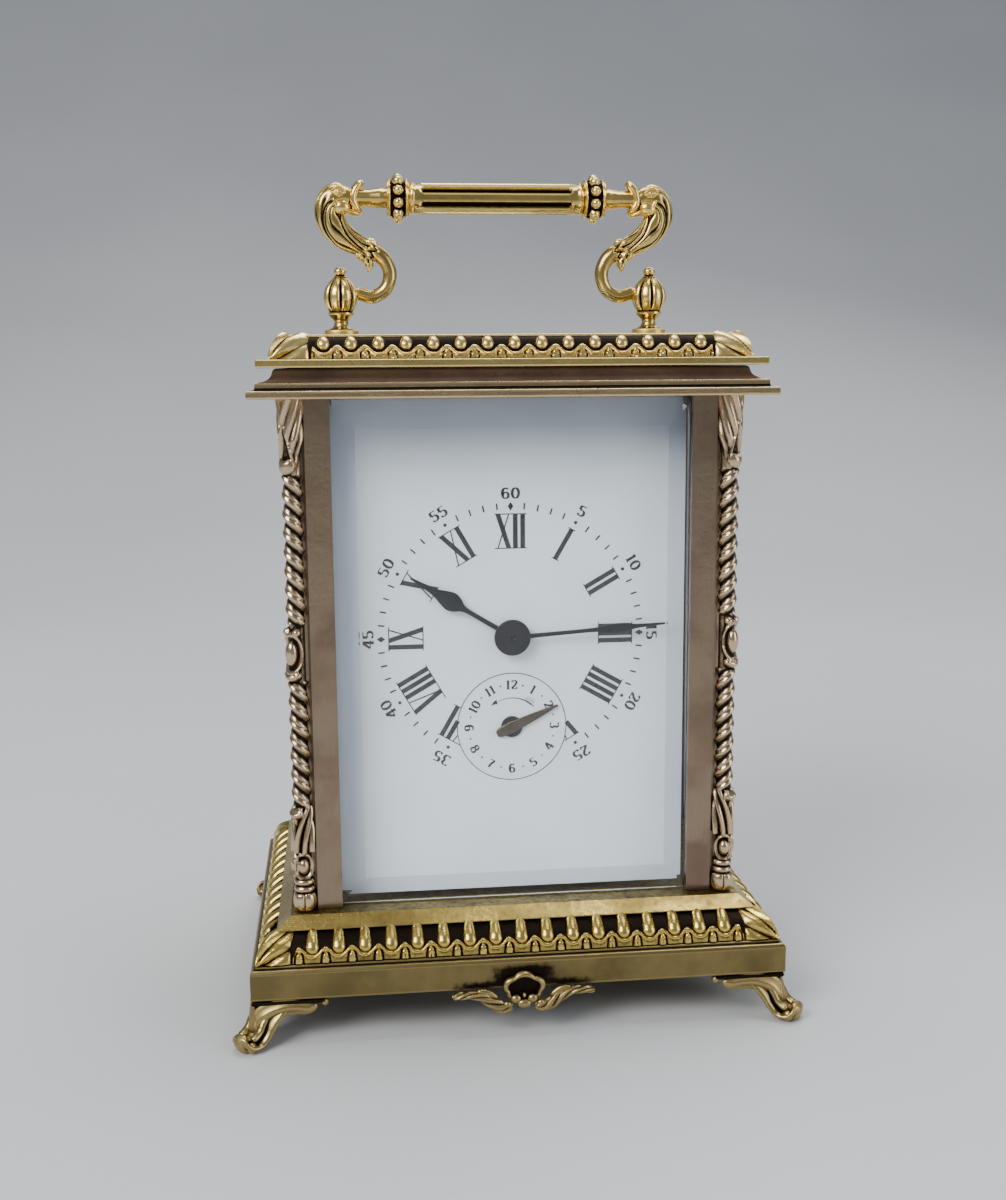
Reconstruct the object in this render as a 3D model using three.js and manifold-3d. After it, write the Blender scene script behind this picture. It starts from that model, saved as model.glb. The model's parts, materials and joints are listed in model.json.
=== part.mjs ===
// A carriage clock with an alarm: a gilt brass case with bevelled glass, a folding handle,
// a rear door, and a two-train movement under a platform escapement.
// Millimetres. X runs across the dial, Y from the dial to the rear door, Z is up.
// The origin is on the table, midway between the four feet.
import * as THREE from "three";
import { mergeVertices } from "three/addons/utils/BufferGeometryUtils.js";
import Module from "manifold-3d";

const wasm = await Module();
wasm.setup();

// ---------------------------------------------------------------- driving dimensions

const WIDER = 14.5; // each moulding stands this much further from the centre in X than in Y
const GAP = 0.1; // between pieces that are screwed or fitted together

const FOOT_H = 10;
const FOOT = { thick: 6, reach: 15, pad: 1.8 };
const PLINTH = { half: 56, top: 16.4, wall: 8 };
const OVOLO = { foot: 55, head: 50, top: 22.7 };
const DECK = { half: 47.7, top: 24.9, under: 21.5 };
const HAMMER_SLOT = { x: [17, 27.5], y: [-2.5, 3.5] }; // in the deck
const SLAB = { half: 52.7, bottom: 131.2, top: 132.9 };
const COVE = { step: 51.1, out: 49.6, in: 47.6, low: 134.4, top: 137.2 };
const LID = { half: 50.8, edge: 138.8, foot: 48.3, head: 45.4, top: 143.6, hollow: 2.4 };
const WELL = 38; // half width of the space inside the cornice and under the lid

const POST = { in: 36.9, out: 45.0, leg: 4 }; // L section; in Y it is WIDER less
const GROOVE = { lip: 1.5, wide: 2.0, deep: 1.2 };
const COLUMN = { x: 44.7, r: 2.2 };
const GLASS = { edge: 1.4, bevel: 5.9, proud: 1.4 };
const WINDOW = { x: 27, y: 19, ledge: 1.5, deep: 2.2 }; // opening in the lid
const DOOR = { half: 36.6, bar: 4.5, thick: 2.8, face: 31.1, low: 25.3, high: 130.8 };

const HANDLE = { pivot: 153, finial: 34, grip: 173, collar: 21.35, end: 30.8, stub: 1.1 };

const PLATE = { half: 33, low: DECK.top + GAP, high: 108, front: -16, back: 11, thick: 2 };
const REAR = PLATE.back + PLATE.thick;
const DIAL = { half: 36.5, low: 26, high: 130.4, front: -22.6, thick: 1.2 };
const PIVOT_HOLE = { centre: 1.2, cannon: 1.6, barrel: 1.8, alarmHand: 1.1, arbor: 0.8 };

// Arbor places, as [x, z]. Each is set from its neighbour by the pitch radii of their gears.
const CENTRE = [0, 80.9];
const ALARM_HAND = [0, 61.1];
const ALARM_BARREL = [-16, 50];
const HAMMER = [8.5, 40.5];
const MESH = {
  great: { module: 0.5, wheel: 64, pinion: 8, angle: -25 }, // centre arbor to barrel
  centre: { module: 0.45, wheel: 64, pinion: 8, angle: 165 }, // centre arbor to third arbor
  third: { module: 0.4, wheel: 60, pinion: 8, angle: 60.7 }, // third arbor to contrate arbor
  cannon: { module: 10 / 24, wheel: 36, pinion: 12, angle: 30 }, // centre arbor to minute wheel
  hour: { module: 10 / 25, wheel: 40, pinion: 10, angle: 30 },
  alarm: { module: 0.5, wheel: 48, pinion: 8, angle: -25 }, // alarm barrel to pin wheel
};
const CONTRATE = { teeth: 60, radius: 8, pinion: 6, face: -0.5, tip: 0.45 };
const spacing = (mesh) => (mesh.module * (mesh.wheel + mesh.pinion)) / 2;
const from = ([x, z], distance, degrees) => {
  const a = THREE.MathUtils.degToRad(degrees);
  return [x + distance * Math.cos(a), z + distance * Math.sin(a)];
};
const BARREL = from(CENTRE, spacing(MESH.great), MESH.great.angle);
const THIRD = from(CENTRE, spacing(MESH.centre), MESH.centre.angle);
const FOURTH = from(THIRD, spacing(MESH.third), MESH.third.angle);
const MINUTE_WHEEL = from(CENTRE, spacing(MESH.cannon), MESH.cannon.angle);
const PIN_WHEEL = from(ALARM_BARREL, spacing(MESH.alarm), MESH.alarm.angle);

// The platform escapement, in plan [x, y].
const ESCAPE = { x: FOURTH[0], y: CONTRATE.face + 0.7 + CONTRATE.radius / 10, r: 3.6 };
const LEVER = { x: ESCAPE.x + 5.4, y: ESCAPE.y };
const BALANCE = { x: ESCAPE.x + 10.4, y: ESCAPE.y, r: 7.5, z: 114.6 };

// Hand directions in degrees clockwise from twelve, and where their front faces lie in Y.
const HAND = { hour: 301.6, minute: 86.2, alarm: 65.6, thick: 0.4 };
const HAND_Y = { hour: -24.0, minute: -24.9, alarm: -23.3 };

// ---------------------------------------------------------------- materials

const metal = (color, roughness) =>
  new THREE.MeshStandardMaterial({ color, roughness, metalness: 1 });
const caseBrass = metal(0xa98445, 0.36);
const paleBrass = metal(0xc9a65a, 0.3);
const steel = metal(0x9a9da0, 0.28);
const blued = metal(0x24252b, 0.35);
const bellMetal = metal(0xb9a98a, 0.25);
const enamel = new THREE.MeshStandardMaterial({ color: 0xe9ebee, roughness: 0.18 });
const glass = new THREE.MeshStandardMaterial({
  color: 0xe4efee,
  roughness: 0.03,
  transparent: true,
  opacity: 0.25,
});

// ---------------------------------------------------------------- solids

// A closed geometry as a manifold solid, turned to face outwards.
function solid(geometry) {
  const bare = geometry.index ? geometry.toNonIndexed() : geometry.clone();
  for (const name of ["normal", "uv"]) bare.deleteAttribute(name);
  const merged = mergeVertices(bare, 1e-4);
  const corners = merged.index.array;
  const faces = [];
  for (let i = 0; i < corners.length; i += 3) {
    const [a, b, c] = corners.slice(i, i + 3);
    if (a !== b && b !== c && c !== a) faces.push(a, b, c);
  }
  const make = (order) =>
    new wasm.Manifold(
      new wasm.Mesh({
        numProp: 3,
        vertProperties: merged.attributes.position.array,
        triVerts: new Uint32Array(order),
      }),
    );
  const made = make(faces);
  if (made.volume() > 0) return made;
  for (let i = 0; i < faces.length; i += 3)
    [faces[i], faces[i + 1]] = [faces[i + 1], faces[i]];
  return make(faces);
}

const group = new THREE.Group();
group.name = "carriage_clock";

// Adds a solid to the clock as a named mesh, with a material of its own.
function add(name, made, material) {
  const mesh = made.getMesh();
  const geometry = new THREE.BufferGeometry();
  const position = new Float32Array(mesh.numVert * 3);
  for (let i = 0; i < mesh.numVert; i++) {
    const at = i * mesh.numProp;
    position.set(mesh.vertProperties.subarray(at, at + 3), i * 3);
  }
  geometry.setAttribute("position", new THREE.BufferAttribute(position, 3));
  geometry.setIndex(new THREE.BufferAttribute(new Uint32Array(mesh.triVerts), 1));
  geometry.computeVertexNormals();
  const part = new THREE.Mesh(geometry, material.clone());
  part.name = name;
  group.add(part);
}

const union = (first, ...rest) => rest.reduce((sum, next) => sum.add(next), first);
const cut = (first, ...rest) => rest.reduce((left, next) => left.subtract(next), first);

function block(x0, x1, y0, y1, z0, z1) {
  const geometry = new THREE.BoxGeometry(x1 - x0, y1 - y0, z1 - z0);
  return solid(geometry.translate((x0 + x1) / 2, (y0 + y1) / 2, (z0 + z1) / 2));
}

// Turned pieces. A profile is a list of [radius, distance along the axis].
function lathe(profile, segments) {
  const points = profile.map(([r, h]) => new THREE.Vector2(r, h));
  return new THREE.LatheGeometry(points, segments);
}
const turnedZ = (x, y, profile, segments = 16) =>
  solid(lathe(profile, segments).rotateX(Math.PI / 2).translate(x, y, 0));
const turnedY = ([x, z], profile, segments = 12) =>
  solid(lathe(profile, segments).translate(x, 0, z));
const turnedX = (z, profile, segments = 12) =>
  solid(lathe(profile, segments).rotateZ(-Math.PI / 2).translate(0, 0, z));
const rodY = (at, r, y0, y1, segments = 12) =>
  turnedY(at, [[0, y0], [r, y0], [r, y1], [0, y1]], segments);
const rodZ = (x, y, r, z0, z1, segments = 12) =>
  turnedZ(x, y, [[0, z0], [r, z0], [r, z1], [0, z1]], segments);

// A rectangular moulding with mitred corners. A profile is a list of [half width, z], and
// the half depth is less by WIDER or by the amount given.
function mitred(profile, less = WIDER) {
  const points = profile.map(([half, z]) => new THREE.Vector2(half * Math.SQRT2, z));
  const geometry = new THREE.LatheGeometry(points, 4, Math.PI / 4);
  geometry.rotateX(Math.PI / 2);
  const at = geometry.attributes.position;
  for (let i = 0; i < at.count; i++)
    if (Math.abs(at.getY(i)) > 1e-3)
      at.setY(i, at.getY(i) - Math.sign(at.getY(i)) * less);
  return solid(geometry);
}

// A flat outline in X and Z, cut from sheet between two Y planes.
function sheetY(shape, y0, y1, curveSegments = 8) {
  const options = { depth: y1 - y0, bevelEnabled: false, curveSegments };
  return solid(new THREE.ExtrudeGeometry(shape, options).rotateX(Math.PI / 2).translate(0, y1, 0));
}
// A flat outline in X and Y, cut from sheet between two Z planes.
function sheetZ(shape, z0, z1, curveSegments = 8) {
  const options = { depth: z1 - z0, bevelEnabled: false, curveSegments };
  return solid(new THREE.ExtrudeGeometry(shape, options).translate(0, 0, z0));
}
const outline = (points) => new THREE.Shape(points.map(([x, y]) => new THREE.Vector2(x, y)));
const circle = (x, y, r) => new THREE.Path().absarc(x, y, r, 0, 2 * Math.PI, true);

// The outline of a gear, centred on [x, y]. One tooth, or one gap, points along `angle`.
// Widths are shares of the pitch.
const WHEEL_TOOTH = { add: 0.95, ded: 1.2, root: 0.5, pitch: 0.34, tip: 0.17 };
const PINION_LEAF = { add: 0.75, ded: 1.2, root: 0.3, pitch: 0.32, tip: 0.14 };
function gear([x, y], teeth, module, form, angle, gap = false) {
  const radius = (module * teeth) / 2;
  const step = (2 * Math.PI) / teeth;
  const first = THREE.MathUtils.degToRad(angle) + (gap ? step / 2 : 0);
  const flank = [
    [radius - form.ded * module, -form.root / 2],
    [radius, -form.pitch / 2],
    [radius + form.add * module, -form.tip / 2],
  ];
  if (form === WHEEL_TOOTH) flank.splice(1, 1);
  const tooth = [...flank, ...flank.map(([r, share]) => [r, -share]).reverse()];
  const points = [];
  for (let i = 0; i < teeth; i++)
    for (const [r, share] of tooth) {
      const a = first + (i + share) * step;
      points.push([x + r * Math.cos(a), y + r * Math.sin(a)]);
    }
  return outline(points);
}

// Cuts the openings between the spokes of a wheel.
function cross(shape, [x, y], inner, outer, spokes, width) {
  for (let i = 0; i < spokes; i++) {
    const mid = ((i + 0.5) * 2 * Math.PI) / spokes;
    const half = (r) => Math.PI / spokes - width / 2 / r;
    const hole = new THREE.Path();
    hole.absarc(x, y, outer, mid - half(outer), mid + half(outer), false);
    hole.absarc(x, y, inner, mid + half(inner), mid - half(inner), true);
    hole.closePath();
    shape.holes.push(hole);
  }
  return shape;
}

const wheelOf = (at, mesh, angle) =>
  gear(at, mesh.wheel, mesh.module, WHEEL_TOOTH, angle);
const pinionOf = (at, mesh, angle, y0, y1) =>
  sheetY(gear(at, mesh.pinion, mesh.module, PINION_LEAF, angle, true), y0, y1);

// ---------------------------------------------------------------- case

const CORNERS = [
  ["front_left", -1, -1],
  ["front_right", 1, -1],
  ["back_left", -1, 1],
  ["back_right", 1, 1],
];
const deep = (half) => half - WIDER;

function basePlinth() {
  const outside = mitred([
    [0, FOOT_H],
    [PLINTH.half, FOOT_H],
    [PLINTH.half, PLINTH.top],
    [OVOLO.foot, PLINTH.top],
    [OVOLO.foot - 0.4, PLINTH.top + 2.2],
    [OVOLO.foot - 1.8, PLINTH.top + 4.2],
    [OVOLO.head, OVOLO.top],
    [DECK.half, DECK.top],
    [0, DECK.top],
  ]);
  const inner = PLINTH.half - PLINTH.wall;
  const hollow = block(-inner, inner, -deep(inner), deep(inner), FOOT_H - 1, DECK.under);
  const { x, y } = HAMMER_SLOT;
  const hammerSlot = block(...x, ...y, DECK.under - 1, DECK.top + 1);
  return cut(outside, hollow, hammerSlot);
}

function foot(sideX, sideY) {
  // The leg's side outline: distance out along the diagonal, and height.
  const leg = outline([
    [-13, FOOT_H - GAP],
    [-7.5, 6.6],
    [-4.2, 2.4],
    [-1.6, 0],
    [1.2, 0],
    [3.0, 1.2],
    [3.1, 2.9],
    [1.3, 3.3],
    [-0.6, 5.6],
    [-0.4, FOOT_H - GAP],
  ]);
  const options = { depth: FOOT.thick, bevelEnabled: false };
  const out = Math.atan2(sideY, sideX);
  const corner = [sideX * PLINTH.half, sideY * deep(PLINTH.half)];
  const legSolid = solid(
    new THREE.ExtrudeGeometry(leg, options)
      .translate(0, 0, -FOOT.thick / 2)
      .rotateX(Math.PI / 2)
      .rotateZ(out)
      .translate(...corner, 0),
  );
  const { reach } = FOOT;
  const pad = outline([
    [-0.6, -0.6],
    [-reach, -0.6],
    [-reach, -3.4],
    [-7, -7],
    [-3.4, -reach],
    [-0.6, -reach],
  ].map(([x, y]) => [corner[0] + x * sideX, corner[1] + y * sideY]));
  return union(legSolid, sheetZ(pad, FOOT_H - FOOT.pad, FOOT_H - GAP));
}

// A cast shell between two leaves, on the front of the plinth.
function frontMount() {
  const half = [
    [0, 5.6],
    [4.6, 5.2],
    [8.5, 6.4],
    [12, 8.4],
    [15.2, 9.0],
    [15.0, 10.2],
    [10.5, 10.4],
    [6.2, 8.6],
    [4.9, 9.6],
    [4.4, 12.2],
    [2.6, 14.0],
    [0, 14.8],
  ];
  const rest = half.slice(1, -1).map(([x, z]) => [-x, z]);
  const face = -deep(PLINTH.half);
  return sheetY(outline([...half, ...rest.reverse()]), face - 1.9, face - GAP);
}

function post(sideX, sideY) {
  const [x0, x1] = [POST.in, POST.out];
  const [y0, y1] = [deep(POST.in), deep(POST.out)];
  const [low, high] = [DECK.top + GAP, SLAB.bottom - GAP];
  const section = outline([
    [x0, y1],
    [x0, y1 - POST.leg],
    [x1 - POST.leg, y1 - POST.leg],
    [x1 - POST.leg, y0],
    [x1, y0],
    [x1, y1],
  ]);
  const { lip, wide, deep: depth } = GROOVE;
  const made = cut(
    sheetZ(section, low, high),
    block(x0 - 1, x0 + depth, y1 - lip - wide, y1 - lip, low - 1, high + 1),
    block(x1 - lip - wide, x1 - lip, y0 - 1, y0 + depth, low - 1, high + 1),
    rodZ(COLUMN.x, deep(COLUMN.x), COLUMN.r + 0.5, low - 1, high + 1, 20),
  );
  return mirrored(made, sideX, sideY);
}

// A solid made in the +X +Y corner, moved to another corner.
function mirrored(made, sideX, sideY) {
  const normal = [sideX < 0 ? 1 : 0, 0, 0];
  const first = sideX < 0 ? made.mirror(normal) : made;
  return sideY < 0 ? first.mirror([0, 1, 0]) : first;
}

// A corner column: a moulded foot, a twisted shaft with a boss at its middle, and a leafy head.
const COLUMN_FORM = [
  [0, 2.5],
  [3.4, 2.5],
  [4.2, 1.7],
  [7, 2.4],
  [16, 2.0],
  [22, 1.9],
  [52, 1.9],
  [57, 2.3],
  [62, 1.9],
  [90, 1.9],
  [93, 2.3],
  [96, 1.7],
  [106, 2.5],
];
function columnRadius(height) {
  const i = COLUMN_FORM.findIndex(([z]) => z >= height);
  if (i <= 0) return COLUMN_FORM[0][1];
  const [[z0, r0], [z1, r1]] = [COLUMN_FORM[i - 1], COLUMN_FORM[i]];
  return r0 + ((r1 - r0) * (height - z0)) / (z1 - z0);
}
function column(sideX, sideY) {
  const [low, high] = [DECK.top + GAP, SLAB.bottom - GAP];
  const strands = 4;
  const turns = 5;
  const steps = 26;
  const section = [];
  for (let i = 0; i < 2 * strands; i++) {
    const a = (i * Math.PI) / strands;
    const r = i % 2 ? 0.8 : 1;
    section.push([r * Math.cos(a), r * Math.sin(a)]);
  }
  const options = { depth: high - low, steps, bevelEnabled: false };
  const geometry = new THREE.ExtrudeGeometry(outline(section), options);
  const at = geometry.attributes.position;
  const point = new THREE.Vector3();
  const up = new THREE.Vector3(0, 0, 1);
  for (let i = 0; i < at.count; i++) {
    point.fromBufferAttribute(at, i);
    const height = point.z;
    const twist = (2 * Math.PI * turns * height) / options.depth;
    const r = columnRadius((height * 106) / options.depth);
    point.applyAxisAngle(up, twist);
    at.setXYZ(i, point.x * r, point.y * r, height);
  }
  const made = solid(geometry.translate(COLUMN.x, deep(COLUMN.x), low));
  return mirrored(made, sideX, sideY);
}

function cornice() {
  return mitred([
    [WELL, SLAB.bottom],
    [SLAB.half, SLAB.bottom],
    [SLAB.half, SLAB.top],
    [COVE.step, SLAB.top],
    [COVE.step, COVE.low],
    [COVE.out, COVE.low],
    [COVE.in + 0.4, COVE.low + 1],
    [COVE.in, COVE.top - GAP],
    [WELL, COVE.top - GAP],
    [WELL, SLAB.bottom],
  ]);
}

function lid() {
  const made = mitred([
    [0, COVE.top],
    [LID.half, COVE.top],
    [LID.half, LID.edge],
    [LID.foot, LID.edge],
    [LID.foot - 0.3, LID.edge + 2],
    [LID.foot - 1.3, LID.edge + 3.8],
    [LID.head, LID.top],
    [0, LID.top],
  ]);
  const { x, y, ledge } = WINDOW;
  const [seatX, seatY] = [x + ledge, y + ledge];
  return cut(
    made,
    block(-WELL, WELL, -deep(WELL), deep(WELL), COVE.top - 1, COVE.top + LID.hollow),
    block(-x, x, -y, y, COVE.top, LID.top + 1),
    block(-seatX, seatX, -seatY, seatY, COVE.top, LID.top - WINDOW.deep),
  );
}

// A pane with bevelled edges, lying in X and Y about the origin, its raised face up.
function pane(halfX, halfY) {
  return mitred(
    [
      [0, 0],
      [halfX, 0],
      [halfX, GLASS.edge],
      [halfX - GLASS.bevel, GLASS.edge + GLASS.proud],
      [0, GLASS.edge + GLASS.proud],
    ],
    halfX - halfY,
  );
}

const PANE_LOW = DECK.top + 0.3;
const PANE_HIGH = SLAB.bottom - 0.3;
const PANE_MID = (PANE_LOW + PANE_HIGH) / 2;
const PANE_HALF = (PANE_HIGH - PANE_LOW) / 2;
const slack = 0.2; // all round the edge of a pane in its groove

function frontPane() {
  const back = -deep(POST.out) + GROOVE.lip + GROOVE.wide - slack;
  return pane(POST.in + GROOVE.deep - slack, PANE_HALF)
    .rotate([90, 0, 0])
    .translate([0, back, PANE_MID]);
}
function sidePane(side) {
  const back = POST.out - GROOVE.lip - GROOVE.wide + slack;
  return pane(deep(POST.in) + GROOVE.deep - slack, PANE_HALF)
    .rotate([90, 0, 90 * side])
    .translate([side * back, 0, PANE_MID]);
}
function topPane() {
  return pane(WINDOW.x + 1.2, WINDOW.y + 1.2).translate([0, 0, LID.top - 2.6 - GLASS.edge]);
}

// The rear door turns on two pins in line with the rounded edge of its hinge stile.
const HINGE = { x: -DOOR.half + DOOR.thick / 2, y: DOOR.face - DOOR.thick / 2 };
const DOOR_MID = (DOOR.low + DOOR.high) / 2;
function doorFrame() {
  const height = (DOOR.high - DOOR.low) / 2;
  const [y0, y1] = [DOOR.face - DOOR.thick, DOOR.face];
  const slab = block(HINGE.x, DOOR.half, y0, y1, DOOR.low, DOOR.high);
  const edge = rodZ(HINGE.x, HINGE.y, DOOR.thick / 2, DOOR.low, DOOR.high, 16);
  const opening = DOOR.half - DOOR.bar;
  const light = height - DOOR.bar;
  const groove = opening + GROOVE.deep;
  const mid = HINGE.y;
  const pinHole = (z) => rodZ(HINGE.x, HINGE.y, 0.75, z - 4, z + 4);
  return cut(
    union(slab, edge),
    block(-opening, opening, y0 - 1, y1 + 1, DOOR_MID - light, DOOR_MID + light),
    block(
      -groove,
      groove,
      mid - GROOVE.wide / 2,
      mid + GROOVE.wide / 2,
      DOOR_MID - light - GROOVE.deep,
      DOOR_MID + light + GROOVE.deep,
    ),
    pinHole(DOOR.low),
    pinHole(DOOR.high),
    rodY([DOOR.half - DOOR.bar / 2, DOOR_MID], 0.9, y0 - 1, y1 + 1),
  );
}
function doorPane() {
  const opening = DOOR.half - DOOR.bar + GROOVE.deep - slack;
  const light = (DOOR.high - DOOR.low) / 2 - DOOR.bar + GROOVE.deep - slack;
  const made = pane(opening, light).rotate([-90, 0, 0]);
  return made.translate([0, HINGE.y - GLASS.edge / 2, DOOR_MID]);
}
function doorKnob() {
  const y = DOOR.face;
  return turnedY([DOOR.half - DOOR.bar / 2, DOOR_MID], [
    [0, y - 2.2],
    [0.6, y - 2.2],
    [0.6, y + GAP],
    [1.9, y + GAP],
    [1.9, y + 0.7],
    [0.9, y + 1.3],
    [0.9, y + 2.2],
    [2.1, y + 3.2],
    [1.7, y + 4.4],
    [0, y + 4.8],
  ]);
}

// ---------------------------------------------------------------- handle

// Each arm ends in a stub that turns in a blind hole in the side of its finial.
function finial(side) {
  const base = LID.top + GAP;
  const urn = turnedZ(side * HANDLE.finial, 0, [
    [0, base],
    [3.6, base],
    [3.6, base + 0.8],
    [2.8, base + 1.5],
    [1.35, base + 3.0],
    [1.35, base + 3.7],
    [2.5, base + 5.2],
    [3.5, base + 7.4],
    [3.7, base + 9.3],
    [3.1, base + 11.5],
    [1.5, base + 13.1],
    [0.7, base + 13.5],
    [1.15, base + 14.2],
    [0.5, base + 15.0],
    [0, base + 15.1],
  ], 12);
  const hole = turnedX(HANDLE.pivot, [
    [0, HANDLE.finial - 6],
    [HANDLE.stub + 0.25, HANDLE.finial - 6],
    [HANDLE.stub + 0.25, HANDLE.finial - 0.6],
    [0, HANDLE.finial - 0.6],
  ], 16);
  return cut(urn, side < 0 ? hole.mirror([1, 0, 0]) : hole);
}

// The S curve of an arm, from the finial to the mouth that holds the grip: [x, z, radius].
const ARM_PATH = [
  [29.9, 153.0, 1.4],
  [27.2, 152.4, 1.45],
  [24.4, 153.9, 1.45],
  [23.4, 157.0, 1.5],
  [24.5, 160.0, 1.6],
  [27.2, 161.9, 1.8],
  [30.6, 163.3, 2.1],
  [34.2, 165.3, 2.3],
  [36.8, 168.2, 2.35],
  [37.3, 171.3, 2.4],
  [35.7, 173.6, 2.5],
  [32.6, 173.4, 2.4],
  [30.0, 173.0, 1.9],
];
function arm(side) {
  const points = ARM_PATH.map(([x, z]) => new THREE.Vector3(x, 0, z));
  const path = new THREE.CatmullRomCurve3(points);
  const section = new THREE.Shape();
  const sides = 6;
  for (let i = 0; i < sides; i++) {
    const a = ((i + 0.5) * 2 * Math.PI) / sides;
    section[i ? "lineTo" : "moveTo"](Math.cos(a), Math.sin(a));
  }
  const steps = 2 * (ARM_PATH.length - 1);
  const options = { steps, bevelEnabled: false, extrudePath: path };
  const geometry = new THREE.ExtrudeGeometry(section, options);
  // The extruded section has a radius of 1, and each ring is then grown to its own radius.
  const stations = Array.from({ length: steps + 1 }, (_, i) => path.getPointAt(i / steps));
  const radii = stations.map((_, i) => {
    const t = path.getUtoTmapping(i / steps) * (ARM_PATH.length - 1);
    const k = Math.min(Math.floor(t), ARM_PATH.length - 2);
    return ARM_PATH[k][2] + (t - k) * (ARM_PATH[k + 1][2] - ARM_PATH[k][2]);
  });
  const at = geometry.attributes.position;
  const point = new THREE.Vector3();
  for (let i = 0; i < at.count; i++) {
    point.fromBufferAttribute(at, i);
    const gaps = stations.map((s) => Math.abs(s.distanceTo(point) - 1));
    const k = gaps.indexOf(Math.min(...gaps));
    point.sub(stations[k]).multiplyScalar(radii[k]).add(stations[k]);
    at.setXYZ(i, ...point);
  }
  const stub = turnedX(HANDLE.pivot, [
    [0, 29.2],
    [HANDLE.stub, 29.2],
    [HANDLE.stub, HANDLE.finial - 0.9],
    [0, HANDLE.finial - 0.9],
  ], 16);
  const made = union(solid(geometry), stub);
  return side < 0 ? made.mirror([1, 0, 0]) : made;
}

function grip() {
  const { collar, end } = HANDLE;
  const half = [
    [3.15, 0],
    [3.15, collar - 4.5],
    [2.6, collar - 2.5],
    [2.15, collar - 2.4],
    [2.15, end - 1.2],
    [0, end - 1.2],
  ];
  const left = half.slice(1).map(([r, x]) => [r, -x]);
  return turnedX(HANDLE.grip, [...left.reverse(), ...half.slice(1)], 12);
}

function gripCollar(side) {
  const x = side * HANDLE.collar;
  return turnedX(HANDLE.grip, [
    [2.3, x - 2.3],
    [4.3, x - 2.3],
    [5.3, x - 0.9],
    [5.3, x + 0.9],
    [4.3, x + 2.3],
    [2.3, x + 2.3],
    [2.3, x - 2.3],
  ], 16);
}

// ---------------------------------------------------------------- movement frame

const PILLARS = [
  [-28, 34],
  [28, 34],
  [-28, 103],
  [28, 103],
];
const drill = (path, [x, z], r) => path.holes.push(circle(x, z, r));
// A plate's outline with a hole for every arbor.
function plateOutline(centreHole) {
  const { half, low, high } = PLATE;
  const shape = outline([
    [-half, low],
    [half, low],
    [half, high],
    [-half, high],
  ]);
  drill(shape, CENTRE, centreHole);
  drill(shape, ALARM_HAND, PIVOT_HOLE.alarmHand);
  for (const at of [BARREL, ALARM_BARREL]) drill(shape, at, PIVOT_HOLE.barrel);
  for (const at of [THIRD, FOURTH, PIN_WHEEL, HAMMER]) drill(shape, at, PIVOT_HOLE.arbor);
  return shape;
}

function frontPlate() {
  const shape = plateOutline(PIVOT_HOLE.cannon);
  const y = PLATE.front;
  const pillar = (at) =>
    turnedY(at, [
      [0, y + 1],
      [2.6, y + 1],
      [2.6, y + 4],
      [1.9, y + 6],
      [1.9, PLATE.back - 4],
      [2.6, PLATE.back - 2],
      [2.6, PLATE.back - GAP],
      [0, PLATE.back - GAP],
    ], 10);
  const stud = rodY(MINUTE_WHEEL, 0.9, y - 4.6, y + 1);
  return union(sheetY(shape, y, y + PLATE.thick, 5), ...PILLARS.map(pillar), stud);
}

function backPlate() {
  return sheetY(plateOutline(PIVOT_HOLE.centre), PLATE.back, REAR, 5);
}

function dial() {
  const shape = outline([
    [-DIAL.half, DIAL.low],
    [DIAL.half, DIAL.low],
    [DIAL.half, DIAL.high],
    [-DIAL.half, DIAL.high],
  ]);
  drill(shape, CENTRE, 2.8);
  drill(shape, ALARM_HAND, 2.0);
  return sheetY(shape, DIAL.front, DIAL.front + DIAL.thick, 12);
}

const BELL = { x: 0, y: 0.4, r: 23, rim: 11.6, top: 20.6 };
function bell() {
  const { x, y, r, rim, top } = BELL;
  return turnedZ(x, y, [
    [r, rim],
    [r - 0.8, rim + 3.4],
    [r - 4, rim + 6.6],
    [r - 10, top - 0.9],
    [r - 17, top],
    [1.7, top],
    [1.7, top - 1],
    [r - 17, top - 1],
    [r - 10.4, top - 1.9],
    [r - 4.7, rim + 5.8],
    [r - 1.8, rim + 3.2],
    [r - 1.1, rim],
    [r, rim],
  ], 28);
}
function bellScrew() {
  const { x, y, top } = BELL;
  return turnedZ(x, y, [
    [0, top - 3],
    [3.2, top - 3],
    [3.4, top - 2],
    [2.6, top - 1 - GAP],
    [1.4, top - 1 - GAP],
    [1.4, top + GAP],
    [3, top + GAP],
    [3, DECK.under - GAP],
    [0, DECK.under - GAP],
  ]);
}

// ---------------------------------------------------------------- going train

const FRONT_PIVOT = PLATE.front + 0.3;
const BACK_PIVOT = REAR - 0.3;
// An arbor between the plates, thinned to a pivot at each end.
const arbor = (at, r) =>
  turnedY(at, [
    [0, FRONT_PIVOT],
    [0.5, FRONT_PIVOT],
    [0.5, PLATE.front + PLATE.thick + 0.3],
    [r, PLATE.front + PLATE.thick + 0.3],
    [r, PLATE.back - 0.3],
    [0.5, PLATE.back - 0.3],
    [0.5, BACK_PIVOT],
    [0, BACK_PIVOT],
  ]);
// A square end for a key, turned so that its corners touch a circle of radius r.
const square = (at, r, y0, y1) => rodY(at, r, y0, y1, 4);

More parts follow.
